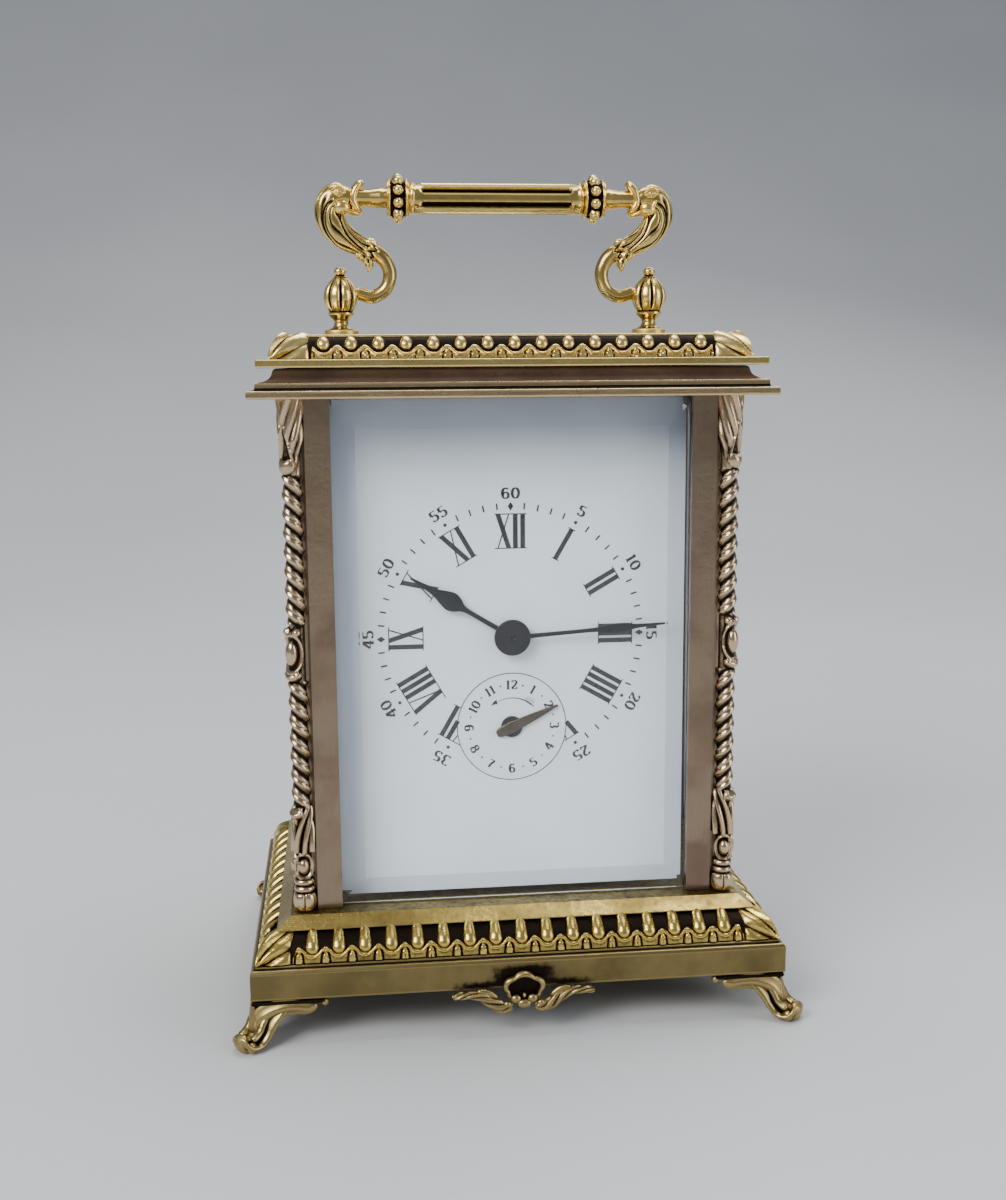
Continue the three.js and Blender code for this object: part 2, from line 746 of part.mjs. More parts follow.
const BARREL_Y = { wheel: -11.5, floor: -10.1, open: 1.2, cap: 2.2 };
function drum(at, mesh, radius, angle, y) {
  const floor = wheelOf(at, mesh, angle);
  floor.holes.push(circle(...at, 2.3));
  const wall = turnedY(at, [
    [radius - 1, y.floor - 0.5],
    [radius, y.floor - 0.5],
    [radius, y.open],
    [radius - 1, y.open],
    [radius - 1, y.floor - 0.5],
  ], 32);
  return union(sheetY(floor, y.wheel, y.floor, 6), wall);
}
const barrelRadius = (mesh) => (mesh.module * mesh.wheel) / 2 - 1.2;
const cap = (at, radius, y0, y1) =>
  turnedY(at, [
    [2.3, y0],
    [radius, y0],
    [radius, y1],
    [2.3, y1],
    [2.3, y0],
  ], 24);

// A ribbon wound in a flat spiral about the origin, in X and Y.
function spiral(inner, outer, turns, thick, steps) {
  const ring = (offset) =>
    Array.from({ length: steps + 1 }, (_, i) => {
      const a = (2 * Math.PI * turns * i) / steps;
      const r = inner + ((outer - inner) * i) / steps + offset;
      return [r * Math.cos(a), r * Math.sin(a)];
    });
  return outline([...ring(thick), ...ring(0).reverse()]);
}

function windingArbor() {
  const core = turnedY(BARREL, [
    [0, PLATE.front + 0.3],
    [1.5, PLATE.front + 0.3],
    [1.5, PLATE.front + PLATE.thick + 0.4],
    [2.0, PLATE.front + PLATE.thick + 0.4],
    [2.0, PLATE.back - 0.4],
    [1.5, PLATE.back - 0.4],
    [1.5, REAR + 3],
    [0, REAR + 3],
  ]);
  const ratchet = ratchetWheel(BARREL, 5.6, 24);
  return union(core, sheetY(ratchet, REAR + 0.3, REAR + 1.5), square(BARREL, 1.5, REAR + 2, REAR + 9));
}
function ratchetWheel([x, z], radius, teeth) {
  const points = [];
  for (let i = 0; i < teeth; i++) {
    const a = (2 * Math.PI * i) / teeth;
    const b = a + (2 * Math.PI * 0.12) / teeth;
    points.push([x + (radius - 0.9) * Math.cos(a), z + (radius - 0.9) * Math.sin(a)]);
    points.push([x + radius * Math.cos(b), z + radius * Math.sin(b)]);
  }
  return outline(points);
}

// The click's nose rests just clear of the ratchet's teeth.
const CLICK = from(BARREL, 10.2, 120);
function click() {
  const [x, z] = CLICK;
  const nose = from(BARREL, 6.0, 92);
  const shape = outline([
    [x - 1.5, z - 0.6],
    [x + 0.4, z - 1.5],
    nose,
    [nose[0] + 0.5, nose[1] + 1.4],
    [x + 1.2, z + 1.1],
    [x - 0.9, z + 1.3],
  ]);
  const screw = rodY(CLICK, 1.4, REAR + 1.2, REAR + 2.2);
  return union(sheetY(shape, REAR + 0.3, REAR + 1.3), screw);
}

function centreWheel() {
  const wheel = cross(
    wheelOf(CENTRE, MESH.centre, MESH.centre.angle),
    CENTRE,
    3,
    11.8,
    4,
    1.8,
  );
  const shaft = turnedY(CENTRE, [
    [0, -25.4],
    [0.6, -25.4],
    [0.6, PLATE.front + PLATE.thick + 0.3],
    [1.1, PLATE.front + PLATE.thick + 0.3],
    [1.1, PLATE.back - 0.3],
    [0.9, PLATE.back - 0.3],
    [0.9, REAR + 1],
    [0, REAR + 1],
  ]);
  return union(
    shaft,
    sheetY(wheel, 4.5, 5.5, 4),
    pinionOf(CENTRE, MESH.great, MESH.great.angle, -12, -9.6),
    square(CENTRE, 1.2, REAR + 0.5, REAR + 6),
  );
}

function thirdWheel() {
  const wheel = cross(wheelOf(THIRD, MESH.third, MESH.third.angle), THIRD, 2.6, 9.7, 4, 1.6);
  return union(
    arbor(THIRD, 0.8),
    sheetY(wheel, -4, -3, 4),
    pinionOf(THIRD, MESH.centre, MESH.centre.angle + 180, 3.8, 6.2),
  );
}

// The contrate wheel's teeth stand along its arbor, to drive the upright escape pinion.
function contrateWheel() {
  const { teeth, radius, face, tip } = CONTRATE;
  const [x, z] = FOURTH;
  const disc = new THREE.Shape().absarc(x, z, radius + 0.6, 0, 2 * Math.PI, false);
  cross(disc, FOURTH, 2.2, radius - 1.2, 4, 1.4);
  const pitch = (2 * Math.PI * radius) / teeth;
  const crown = [];
  for (let i = 0; i < teeth; i++) {
    const tooth = outline([
      [-0.25 * pitch, face - 0.1],
      [0.25 * pitch, face - 0.1],
      [0.08 * pitch, tip],
      [-0.08 * pitch, tip],
    ]);
    const options = { depth: 1.1, bevelEnabled: false };
    const geometry = new THREE.ExtrudeGeometry(tooth, options);
    geometry.translate(0, 0, radius - options.depth / 2);
    geometry.rotateY((2 * Math.PI * i) / teeth).translate(x, 0, z);
    crown.push(solid(geometry));
  }
  return union(
    arbor(FOURTH, 0.7),
    sheetY(disc, face - 0.8, face, 8),
    ...crown,
    pinionOf(FOURTH, MESH.third, MESH.third.angle + 180, -4.8, -2.2),
  );
}

// ---------------------------------------------------------------- platform escapement

const PLATFORM = { low: PLATE.high + 0.3, high: PLATE.high + 2 };
function platform() {
  const shape = outline([
    [-15, -12],
    [15, -12],
    [15, REAR - 0.5],
    [-15, REAR - 0.5],
  ]);
  shape.holes.push(circle(ESCAPE.x, ESCAPE.y, 1.4));
  shape.holes.push(circle(BALANCE.x, BALANCE.y, 0.8));
  shape.holes.push(circle(LEVER.x, LEVER.y, 0.7));
  return sheetZ(shape, PLATFORM.low, PLATFORM.high);
}

// Fifteen pointed teeth, on an upright arbor with the pinion at its foot.
function escapeWheel() {
  const { x, y, r } = ESCAPE;
  const teeth = 15;
  const points = [];
  for (let i = 0; i < teeth; i++) {
    const a = (2 * Math.PI * i) / teeth;
    const lead = a + (2 * Math.PI * 0.3) / teeth;
    points.push([x + (r - 1) * Math.cos(a), y + (r - 1) * Math.sin(a)]);
    points.push([x + r * Math.cos(lead), y + r * Math.sin(lead)]);
  }
  const wheel = cross(outline(points), [x, y], 0.9, r - 1.5, 3, 0.7);
  const { radius, teeth: crown, pinion } = CONTRATE;
  const module = (2 * radius) / crown;
  const top = FOURTH[1] + radius;
  const leaves = gear([x, y], pinion, module, PINION_LEAF, -90, true);
  return union(
    sheetZ(wheel, PLATFORM.high + 1.2, PLATFORM.high + 1.8, 3),
    sheetZ(leaves, top - 0.7, top + 0.7),
    rodZ(x, y, 0.35, top - 1.2, PLATFORM.high + 3.2, 8),
  );
}

function palletLever() {
  const { x, y } = LEVER;
  const reach = x - ESCAPE.x - ESCAPE.r - 0.6; // to just clear of the escape wheel's teeth
  const shape = outline([
    [x - reach + 0.3, y - 2.3],
    [x - reach + 0.9, y - 2.6],
    [x + 0.5, y - 0.7],
    [BALANCE.x - 1.4, y - 0.5],
    [BALANCE.x - 1.4, y + 0.5],
    [x + 0.5, y + 0.7],
    [x - reach + 0.9, y + 2.6],
    [x - reach + 0.3, y + 2.3],
    [x - 0.9, y],
  ]);
  const plate = sheetZ(shape, PLATFORM.high + 1.2, PLATFORM.high + 1.8);
  return union(plate, rodZ(x, y, 0.4, PLATFORM.low + 0.2, PLATFORM.high + 2.8, 8));
}

function balanceWheel() {
  const { x, y, r, z } = BALANCE;
  const rim = new THREE.Shape().absarc(x, y, r, 0, 2 * Math.PI, false);
  cross(rim, [x, y], 1.2, r - 1, 2, 1.2);
  const roller = rodZ(x, y, 0.9, PLATFORM.high + 2.2, PLATFORM.high + 2.8);
  const staff = rodZ(x, y, 0.4, PLATFORM.low + 0.2, z + 3.1, 8);
  return union(sheetZ(rim, z, z + 0.9, 12), roller, staff);
}

function hairspring() {
  const shape = spiral(0.9, 3.6, 5, 0.2, 60);
  return sheetZ(shape, BALANCE.z + 1.5, BALANCE.z + 1.9).translate([BALANCE.x, BALANCE.y, 0]);
}

function balanceCock() {
  const { x, y, r, z } = BALANCE;
  const [low, high] = [z + 2.5, z + 3.7];
  const bridge = sheetZ(
    outline([
      [x - 1.6, y - 1.6],
      [x + 1.6, y - 1.6],
      [x + 2.2, y + 2],
      [x + 3.2, y + r + 0.8],
      [x - 3.2, y + r + 0.8],
      [x - 2.2, y + 2],
    ]),
    low,
    high,
  );
  const heel = block(x - 3.2, x + 3.2, y + r + 0.6, y + r + 3.4, PLATFORM.high + GAP, high);
  return cut(union(bridge, heel), rodZ(x, y, 0.6, low - 1, high + 1, 8));
}

// ---------------------------------------------------------------- motion work and hands

function cannonPinion() {
  const made = union(
    rodY(CENTRE, 1.25, -24.9, PLATE.front - 0.4),
    pinionOf(CENTRE, MESH.cannon, MESH.cannon.angle, -18.1, -17),
  );
  return cut(made, rodY(CENTRE, 0.72, -26, PLATE.front));
}
function minuteWheel() {
  const made = union(
    sheetY(
      wheelOf(MINUTE_WHEEL, MESH.cannon, MESH.cannon.angle + 180),
      -17.95,
      -17.15,
    ),
    pinionOf(MINUTE_WHEEL, MESH.hour, MESH.hour.angle + 180, -20.1, -17.9),
  );
  return cut(made, rodY(MINUTE_WHEEL, 1.05, -21, PLATE.front));
}
function hourWheel() {
  const made = union(
    sheetY(wheelOf(CENTRE, MESH.hour, MESH.hour.angle), -19.8, -19),
    rodY(CENTRE, 2.1, -23.9, -18.6, 16),
  );
  return cut(made, rodY(CENTRE, 1.5, -25, -18, 16));
}

// A hand's outline, pointing along +Y from the origin: [distance, half width] up one side.
function handShape(profile, bossR, holeR) {
  const right = profile.map(([length, half]) => [half, length]);
  const left = profile.map(([length, half]) => [-half, length]).reverse();
  const shape = outline([...right, ...left]);
  const boss = new THREE.Shape().absarc(0, 0, bossR, 0, 2 * Math.PI, false);
  return { shape, boss, holeR };
}
function hand({ shape, boss, holeR }, at, degrees, y0) {
  const flat = union(sheetY(shape, 0, HAND.thick), sheetY(boss, 0, HAND.thick, 16));
  const made = cut(flat, rodY([0, 0], holeR, -1, HAND.thick + 1));
  return made.rotate([0, degrees, 0]).translate([at[0], y0, at[1]]);
}
const HOUR_HAND = handShape(
  [
    [1, 0.5],
    [12.2, 0.5],
    [14.8, 2.05],
    [18.4, 0.95],
    [25, 0.35],
  ],
  3.5,
  2.2,
);
const MINUTE_HAND = handShape(
  [
    [1, 0.45],
    [18.2, 0.45],
    [21, 0.95],
    [25.6, 0.85],
    [26.6, 0.42],
    [32.6, 0.3],
  ],
  3.8,
  1.35,
);
const ALARM_POINTER = handShape(
  [
    [-3.5, 0.7],
    [-2.6, 1.05],
    [0, 1.15],
    [10.7, 0.2],
  ],
  1.3,
  0.4,
);

function alarmHand() {
  const pointer = hand(ALARM_POINTER, ALARM_HAND, HAND.alarm, HAND_Y.alarm);
  const shaft = turnedY(ALARM_HAND, [
    [0, HAND_Y.alarm - 0.2],
    [0.9, HAND_Y.alarm - 0.2],
    [0.9, REAR + 1],
    [0, REAR + 1],
  ]);
  return union(pointer, shaft, square(ALARM_HAND, 1.2, REAR + 0.5, REAR + 6));
}

// ---------------------------------------------------------------- alarm train

const ALARM_Y = { wheel: -11, floor: -9.8, open: -3.2, cap: -2.2 };
function alarmBarrel() {
  const radius = barrelRadius(MESH.alarm);
  const shell = drum(ALARM_BARREL, MESH.alarm, radius, MESH.alarm.angle, ALARM_Y);
  const lidDisc = rodY(ALARM_BARREL, radius - 0.5, ALARM_Y.open - 0.5, ALARM_Y.cap, 24);
  const core = turnedY(ALARM_BARREL, [
    [0, PLATE.front + 0.3],
    [1.5, PLATE.front + 0.3],
    [1.5, PLATE.front + PLATE.thick + 0.4],
    [2.4, PLATE.front + PLATE.thick + 0.4],
    [2.4, PLATE.back - 0.4],
    [1.5, PLATE.back - 0.4],
    [1.5, REAR + 3],
    [0, REAR + 3],
  ]);
  const [x, z] = ALARM_BARREL;
  const slot = block(x - 1.5, x + 1.5, ALARM_Y.open - 1, ALARM_Y.cap + 1, z + 6, z + 8);
  const key = square(ALARM_BARREL, 1.5, REAR + 2, REAR + 8);
  return union(shell, cut(lidDisc, slot), core, key);
}

function alarmPinWheel() {
  const points = [];
  const teeth = 15;
  const [x, z] = PIN_WHEEL;
  for (let i = 0; i < 2 * teeth; i++) {
    const a = (Math.PI * i) / teeth;
    const r = i % 2 ? 5.5 : 4.3;
    points.push([x + r * Math.cos(a), z + r * Math.sin(a)]);
  }
  return union(
    arbor(PIN_WHEEL, 0.8),
    sheetY(outline(points), 0, 0.8),
    pinionOf(PIN_WHEEL, MESH.alarm, MESH.alarm.angle + 180, -11.5, -9.2),
  );
}

// The hammer hangs through the deck beside the bell. Its upper arm lies next to the pin wheel.
function alarmHammer() {
  const [x, z] = HAMMER;
  const head = [BELL.x + BELL.r + 3.4, 15];
  const along = new THREE.Vector2(head[0] - x, head[1] - z);
  const across = new THREE.Vector2(-along.y, along.x).setLength(0.7);
  const toHead = outline([
    [x + across.x, z + across.y],
    [x - across.x, z - across.y],
    [head[0] - across.x, head[1] - across.y],
    [head[0] + across.x, head[1] + across.y],
  ]);
  const nose = from(PIN_WHEEL, 6.6, -17);
  const toWheel = outline([
    [x, z - 0.9],
    [x, z + 0.9],
    [nose[0], nose[1] + 0.6],
    [nose[0], nose[1] - 0.6],
  ]);
  return union(
    arbor(HAMMER, 0.9),
    sheetY(toHead, -0.2, 1.0),
    sheetY(toWheel, -0.2, 1.0),
    rodY(head, 2, -1.6, 2.4, 12),
  );
}

// ---------------------------------------------------------------- assembly

add("base_plinth", basePlinth(), caseBrass);
for (const [name, sideX, sideY] of CORNERS) {
  add("foot_" + name, foot(sideX, sideY), caseBrass);
  add("post_" + name, post(sideX, sideY), caseBrass);
  add("column_" + name, column(sideX, sideY), caseBrass);
}
add("front_mount", frontMount(), caseBrass);
add("cornice", cornice(), caseBrass);
add("lid", lid(), caseBrass);
add("glass_front", frontPane(), glass);
add("glass_left", sidePane(-1), glass);
add("glass_right", sidePane(1), glass);
add("glass_top", topPane(), glass);

add("door_frame", doorFrame(), caseBrass);
add("door_glass", doorPane(), glass);
add("door_knob", doorKnob(), paleBrass);
for (const [name, z, way] of [["lower", DOOR.low, 1], ["upper", DOOR.high, -1]]) {
  const ends = [z - way * (GAP + 0.1), z + way * 3.6].sort((a, b) => a - b);
  add("hinge_pin_" + name, rodZ(HINGE.x, HINGE.y, 0.6, ...ends, 10), steel);
}

for (const [name, side] of [["left", -1], ["right", 1]]) {
  add("finial_" + name, finial(side), caseBrass);
  add("handle_arm_" + name, arm(side), caseBrass);
  add("grip_collar_" + name, gripCollar(side), caseBrass);
}
add("handle_grip", grip(), caseBrass);

add("front_plate", frontPlate(), paleBrass);
add("back_plate", backPlate(), paleBrass);
add("dial", dial(), enamel);
add("bell", bell(), bellMetal);
add("bell_screw", bellScrew(), steel);

const drumRadius = barrelRadius(MESH.great);
add(
  "going_barrel",
  drum(BARREL, MESH.great, drumRadius, MESH.great.angle + 180, BARREL_Y),
  paleBrass,
);
add("barrel_cap", cap(BARREL, drumRadius, BARREL_Y.open + GAP, BARREL_Y.cap), paleBrass);
add(
  "mainspring",
  sheetY(spiral(3.2, drumRadius - 2, 6, 0.5, 96), BARREL_Y.floor + 0.6, BARREL_Y.open - 0.6)
    .translate([BARREL[0], 0, BARREL[1]]),
  steel,
);
add("winding_arbor", windingArbor(), steel);
add("click", click(), steel);
add("centre_wheel", centreWheel(), paleBrass);
add("third_wheel", thirdWheel(), paleBrass);
add("contrate_wheel", contrateWheel(), paleBrass);

add("platform", platform(), steel);
add("escape_wheel", escapeWheel(), paleBrass);
add("pallet_lever", palletLever(), steel);
add("balance_wheel", balanceWheel(), paleBrass);
add("hairspring", hairspring(), blued);
add("balance_cock", balanceCock(), steel);

add("cannon_pinion", cannonPinion(), steel);
add("minute_wheel", minuteWheel(), paleBrass);
add("hour_wheel", hourWheel(), paleBrass);
add("hour_hand", hand(HOUR_HAND, CENTRE, HAND.hour, HAND_Y.hour), blued);
add("minute_hand", hand(MINUTE_HAND, CENTRE, HAND.minute, HAND_Y.minute), blued);
add("alarm_hand", alarmHand(), paleBrass);

add("alarm_barrel", alarmBarrel(), paleBrass);
add("alarm_pin_wheel", alarmPinWheel(), paleBrass);
add("alarm_hammer", alarmHammer(), steel);

export default group;
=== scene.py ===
"""The looks of a brass carriage clock with an alarm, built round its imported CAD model.

Shapes are worked out in millimetres in the CAD frame, and become metres when a mesh is made.
"""
import json
import math

import bpy
import numpy as np
from mathutils import Matrix, Vector


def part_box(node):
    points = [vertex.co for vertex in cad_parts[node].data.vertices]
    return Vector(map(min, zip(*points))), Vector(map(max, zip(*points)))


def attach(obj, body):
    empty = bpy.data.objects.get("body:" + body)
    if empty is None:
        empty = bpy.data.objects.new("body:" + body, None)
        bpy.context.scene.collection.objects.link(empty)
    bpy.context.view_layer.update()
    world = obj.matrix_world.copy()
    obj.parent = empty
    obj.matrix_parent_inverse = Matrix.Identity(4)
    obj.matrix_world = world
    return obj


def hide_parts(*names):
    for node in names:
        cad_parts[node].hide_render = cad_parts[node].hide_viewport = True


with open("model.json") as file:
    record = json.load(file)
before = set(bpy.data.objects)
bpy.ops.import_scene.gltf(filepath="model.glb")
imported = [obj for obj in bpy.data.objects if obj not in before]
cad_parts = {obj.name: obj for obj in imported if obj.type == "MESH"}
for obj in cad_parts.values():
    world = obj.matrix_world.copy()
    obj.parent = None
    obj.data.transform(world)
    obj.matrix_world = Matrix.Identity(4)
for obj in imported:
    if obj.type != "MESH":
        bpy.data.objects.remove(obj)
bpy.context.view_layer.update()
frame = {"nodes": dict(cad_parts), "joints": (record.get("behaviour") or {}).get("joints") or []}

MM = 0.001
TAU = 2 * math.pi
SIDES = (("left", -1), ("right", 1))
CORNERS = (
    ("front_left", -1, -1),
    ("front_right", 1, -1),
    ("back_left", -1, 1),
    ("back_right", 1, 1),
)


def node_box(node):
    """A CAD node's lowest and highest corners in millimetres."""
    low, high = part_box(node)
    return np.array(low) / MM, np.array(high) / MM


def joint_place(name):
    """Where a joint of the frame sits, in millimetres."""
    joint = next(j for j in frame["joints"] if j["name"] == name)
    return np.array(joint["pos_m"]) / MM


def hump(value, middle, width):
    """A smooth hump, 1 high at its middle."""
    return np.exp(-(((value - middle) / width) ** 2))


def ramp(value, start, length):
    """0 up to the start, then rising evenly to 1 over the length. A negative length turns it round."""
    return np.clip((value - start) / length, 0, 1)


def dome(squared):
    """The height of a ball of radius 1 at a squared distance from its middle."""
    return np.sqrt(np.clip(1 - squared, 0, 1))


def at_depth(x, y, z):
    """Points from rows of x and z, all at one y."""
    return np.stack([x, np.full_like(x, y), z], -1)


# ---------------------------------------------------------------- meshes

def grid_faces(rows, columns, closed=False):
    """Quads of a grid of points, wrapped round in its second direction if closed."""
    i, j = np.meshgrid(np.arange(rows - 1), np.arange(columns if closed else columns - 1), indexing="ij")
    k = (j + 1) % columns
    quads = np.stack([i * columns + j, i * columns + k, (i + 1) * columns + k, (i + 1) * columns + j], -1)
    return quads.reshape(-1, 4).tolist()


def grid(points, closed=False, caps=False, flip=False):
    """A grid of points as vertices and faces. caps closes the first and last row with one face each.

    A point is x, y, z and, if it has a fourth value, its patina: 1 in a dark hollow, -1 on a rubbed edge.
    Some pieces also put painted shade into this value.
    """
    rows, columns = points.shape[:2]
    faces = grid_faces(rows, columns, closed)
    if caps:
        faces.append(list(range(columns))[::-1])
        faces.append([(rows - 1) * columns + j for j in range(columns)])
    if flip:
        faces = [f[::-1] for f in faces]
    return points.reshape(-1, points.shape[2]), faces


def with_patina(points, patina=0.0):
    """Grid points with a patina value added to each."""
    patina = np.broadcast_to(patina, points.shape[:2])
    return np.concatenate([points, patina[..., None]], -1)


def together(*parts):
    """Several lots of vertices and faces as one."""
    points, faces, start = [], [], 0
    for some_points, some_faces in parts:
        some_points = np.asarray(some_points, float)
        if some_points.shape[1] == 3:
            some_points = np.column_stack([some_points, np.zeros(len(some_points))])
        points.append(some_points)
        faces += [[i + start for i in f] for f in some_faces]
        start += len(some_points)
    return np.concatenate(points), faces


def neighbours_mean(values, edges, degree):
    """The mean of each vertex's neighbours."""
    total = np.zeros_like(values)
    np.add.at(total, edges[:, 0], values[edges[:, 1]])
    np.add.at(total, edges[:, 1], values[edges[:, 0]])
    return total / (degree[:, None] if values.ndim > 1 else degree)


def paint_hollows(mesh, patina, depth, passes):
    """Stores how deep each vertex lies in a hollow, and how far it stands on a ridge, from 0 to 1.

    Both come from the given patina, which in places holds painted shade, and from how far the vertex lies
    below its smoothed surroundings.
    """
    count = len(mesh.vertices)
    at = np.zeros(count * 3)
    mesh.vertices.foreach_get("co", at)
    at = at.reshape(-1, 3) / MM
    normal = np.zeros(count * 3)
    mesh.vertices.foreach_get("normal", normal)
    normal = normal.reshape(-1, 3)
    edges = np.zeros(len(mesh.edges) * 2, int)
    mesh.edges.foreach_get("vertices", edges)
    edges = edges.reshape(-1, 2)
    degree = np.maximum(np.bincount(edges.ravel(), minlength=count), 1)
    length = np.linalg.norm(at[edges[:, 0]] - at[edges[:, 1]], axis=1)
    longest = np.zeros(count)
    np.maximum.at(longest, edges[:, 0], length)
    np.maximum.at(longest, edges[:, 1], length)
    smooth = at
    for _ in range(passes):
        smooth = neighbours_mean(smooth, edges, degree) * 0.6 + smooth * 0.4
    rise = ((smooth - at) * normal).sum(1) / depth * (longest < 1.2)
    for _ in range(2):
        rise = neighbours_mean(rise, edges, degree) * 0.5 + rise * 0.5
    for name, value in (("hollow", np.maximum(rise, patina)), ("ridge", np.maximum(-rise, -patina))):
        mesh.attributes.new(name, "FLOAT", "POINT").data.foreach_set("value", np.clip(value, 0, 1))


def piece(name, shape, material, body, stands_for=(), sharp=40, hollow=0.12, passes=14):
    """Makes one named piece of the object that rides on a body."""
    points, faces = shape
    points = np.asarray(points, float)
    mesh = bpy.data.meshes.new(name)
    mesh.from_pydata((points[:, :3] * MM).tolist(), [], faces)
    mesh.shade_smooth()
    mesh.set_sharp_from_angle(angle=math.radians(sharp))
    if hollow:
        paint_hollows(mesh, points[:, 3] if points.shape[1] > 3 else np.zeros(len(points)), hollow, passes)
    mesh.materials.append(material)
    made = bpy.data.objects.new(name, mesh)
    bpy.context.scene.collection.objects.link(made)
    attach(made, body)
    if stands_for:
        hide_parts(*stands_for)
    return made


def spaced(points, count):
    """A smooth curve through the points, as count rows. Extra columns, such as a radius, follow along."""
    p = np.asarray(points, float)
    p = np.vstack([2 * p[0] - p[1], p, 2 * p[-1] - p[-2]])
    t = np.linspace(0, len(points) - 1, count)
    k = np.minimum(t.astype(int), len(points) - 2)
    u = (t - k)[:, None]
    a, b, c, d = p[k], p[k + 1], p[k + 2], p[k + 3]
    return 0.5 * (2 * b + (c - a) * u + (2 * a - 5 * b + 4 * c - d) * u**2 + (3 * b - a - 3 * c + d) * u**3)


def loft(path, wide, thick, across, sides=24, relief=None, tip=False):
    """A solid along a path. wide is its half width along `across`, thick its half width square to that.

    relief(along, angle) gives what is added to the radius, and the patina. tip draws both ends to a point.
    """
    path = np.asarray(path, float)
    count = len(path)
    tangent = np.gradient(path, axis=0)
    tangent /= np.linalg.norm(tangent, axis=1)[:, None]
    across = np.broadcast_to(np.asarray(across, float), path.shape)
    side = across - (across * tangent).sum(1)[:, None] * tangent
    side /= np.linalg.norm(side, axis=1)[:, None]
    up = np.cross(tangent, side)
    angle = np.arange(sides) * TAU / sides
    along = np.linspace(0, 1, count)
    wide = np.broadcast_to(np.asarray(wide, float), (count,)).copy()
    thick = np.broadcast_to(np.asarray(thick, float), (count,)).copy()
    if tip:
        taper = np.sqrt(np.clip(1 - (2 * along - 1) ** 8, 0.0004, 1))
        wide, thick = wide * taper, thick * taper
    extra, patina = relief(along[:, None], angle[None, :]) if relief else (0, 0)
    a = (wide[:, None] + extra) * np.cos(angle)
    b = (thick[:, None] + extra) * np.sin(angle)
    points = path[:, None] + a[..., None] * side[:, None] + b[..., None] * up[:, None]
    return grid(with_patina(points, patina), closed=True, caps=True)


def round_body(centre, axis, profile, sides=64, relief=None):
    """A turned body about an axis. profile is [along, radius, patina].

    relief(along, angle) gives what is added to the radius, and the patina. The angle starts at the first
    of the two other axes, in X, Y, Z order.
    """
    profile = np.asarray(profile, float)
    angle = np.arange(sides) * TAU / sides
    along, radius = profile[:, 0][:, None], profile[:, 1][:, None]
    extra, patina = relief(along, angle[None, :]) if relief else (0, 0)
    if profile.shape[1] > 2:
        patina = patina + profile[:, 2][:, None]
    r = np.maximum(np.broadcast_to(radius + extra, (len(profile), sides)), 0.001)
    first, second = [i for i in range(3) if i != axis]
    points = np.zeros((len(profile), sides, 3))
    points[..., axis] = along
    points[..., first] = r * np.cos(angle)
    points[..., second] = r * np.sin(angle)
    points = with_patina(points + np.asarray(centre, float), patina)
    return grid(points, closed=True, caps=True, flip=axis == 1)


def rounded(profile, radius=0.25, steps=3, turned_about=False):
    """A profile of straight lines with its corners rounded off, and a patina column added.

    Outer corners are rubbed bright and inner ones hold dirt. turned_about is for [along, radius] profiles.
    """
    p = np.asarray(profile, float)
    made = [[*p[0], 0]]
    for a, b, c in zip(p, p[1:], p[2:]):
        before, after = a - b, c - b
        far = np.linalg.norm(before), np.linalg.norm(after)
        reach = min(radius, far[0] / 2.3, far[1] / 2.3)
        before, after = before / far[0], after / far[1]
        bend = before[1] * after[0] - before[0] * after[1]
        patina = float(np.clip(-1.4 * bend, -1, 1)) * (-1 if turned_about else 1)
        fade = min(reach + 0.2, far[0] / 2.1, far[1] / 2.1)
        made.append([*(b + before * fade), 0])
        for t in np.linspace(0, 1, steps + 1):
            at = (1 - t) ** 2 * (b + before * reach) + 2 * t * (1 - t) * b + t**2 * (b + after * reach)
            made.append([*at, patina])
        made.append([*(b + after * fade), 0])
    made.append([*p[-1], 0])
    return np.array(made)


def spread_out(profile, pitch):
    """A profile with points added so that no step is longer than the pitch. Extra columns follow along."""
    made = []
    for a, b in zip(profile, profile[1:]):
        steps = max(1, math.ceil(np.linalg.norm((b - a)[:2]) / pitch))
        made += [a + (b - a) * i / steps for i in range(steps)]
    return np.array(made + [profile[-1]])


def with_zero(profile):
    """A profile with a patina column of zeros."""
    return np.column_stack([profile, np.zeros(len(profile))])


def moulding(profile, depth_less, pitch=4.0, relief=None):
    """A rectangular moulding with mitred corners. profile is [half width, z, patina].

    Its half width in Y is less by depth_less. relief(along, half length, z, is_front) gives what is added
    outwards on each side, and the patina. is_front is true on the two sides that face -Y and +Y.
    """
    profile = np.asarray(profile, float)
    slope = np.gradient(profile[:, :2], axis=0)
    outward = np.stack([slope[:, 1], -slope[:, 0]], 1)
    outward /= np.maximum(np.linalg.norm(outward, axis=1)[:, None], 1e-9)
    parts = []
    for quarter in range(4):
        is_front = quarter % 2 == 0
        half = profile[:, 0] - (0 if is_front else depth_less)
        reach = profile[:, 0] - (depth_less if is_front else 0)
        columns = max(2, math.ceil(2 * half.max() / pitch)) + 1
        share = np.linspace(-1, 1, columns)
        along = half[:, None] * share
        z = np.broadcast_to(profile[:, 1][:, None], along.shape)
        out = np.broadcast_to(reach[:, None], along.shape)
        patina = np.broadcast_to(profile[:, 2][:, None], along.shape)
        if relief:
            lift, more = relief(along, half[:, None], z, is_front)
            patina = np.clip(patina + more, -1, 1)
            near_corner = np.clip(1 - (half[:, None] - np.abs(along)) / 3, 0, 1)
            along = along + np.sign(along) * near_corner * lift * outward[:, 0][:, None]
            out = out + lift * outward[:, 0][:, None]
            z = z + lift * outward[:, 1][:, None]
        turn = quarter * math.pi / 2
        x = along * math.cos(turn) + out * math.sin(turn)
        y = along * math.sin(turn) - out * math.cos(turn)
        parts.append(grid(np.stack([x, y, z, patina], -1)))
    return together(*parts)


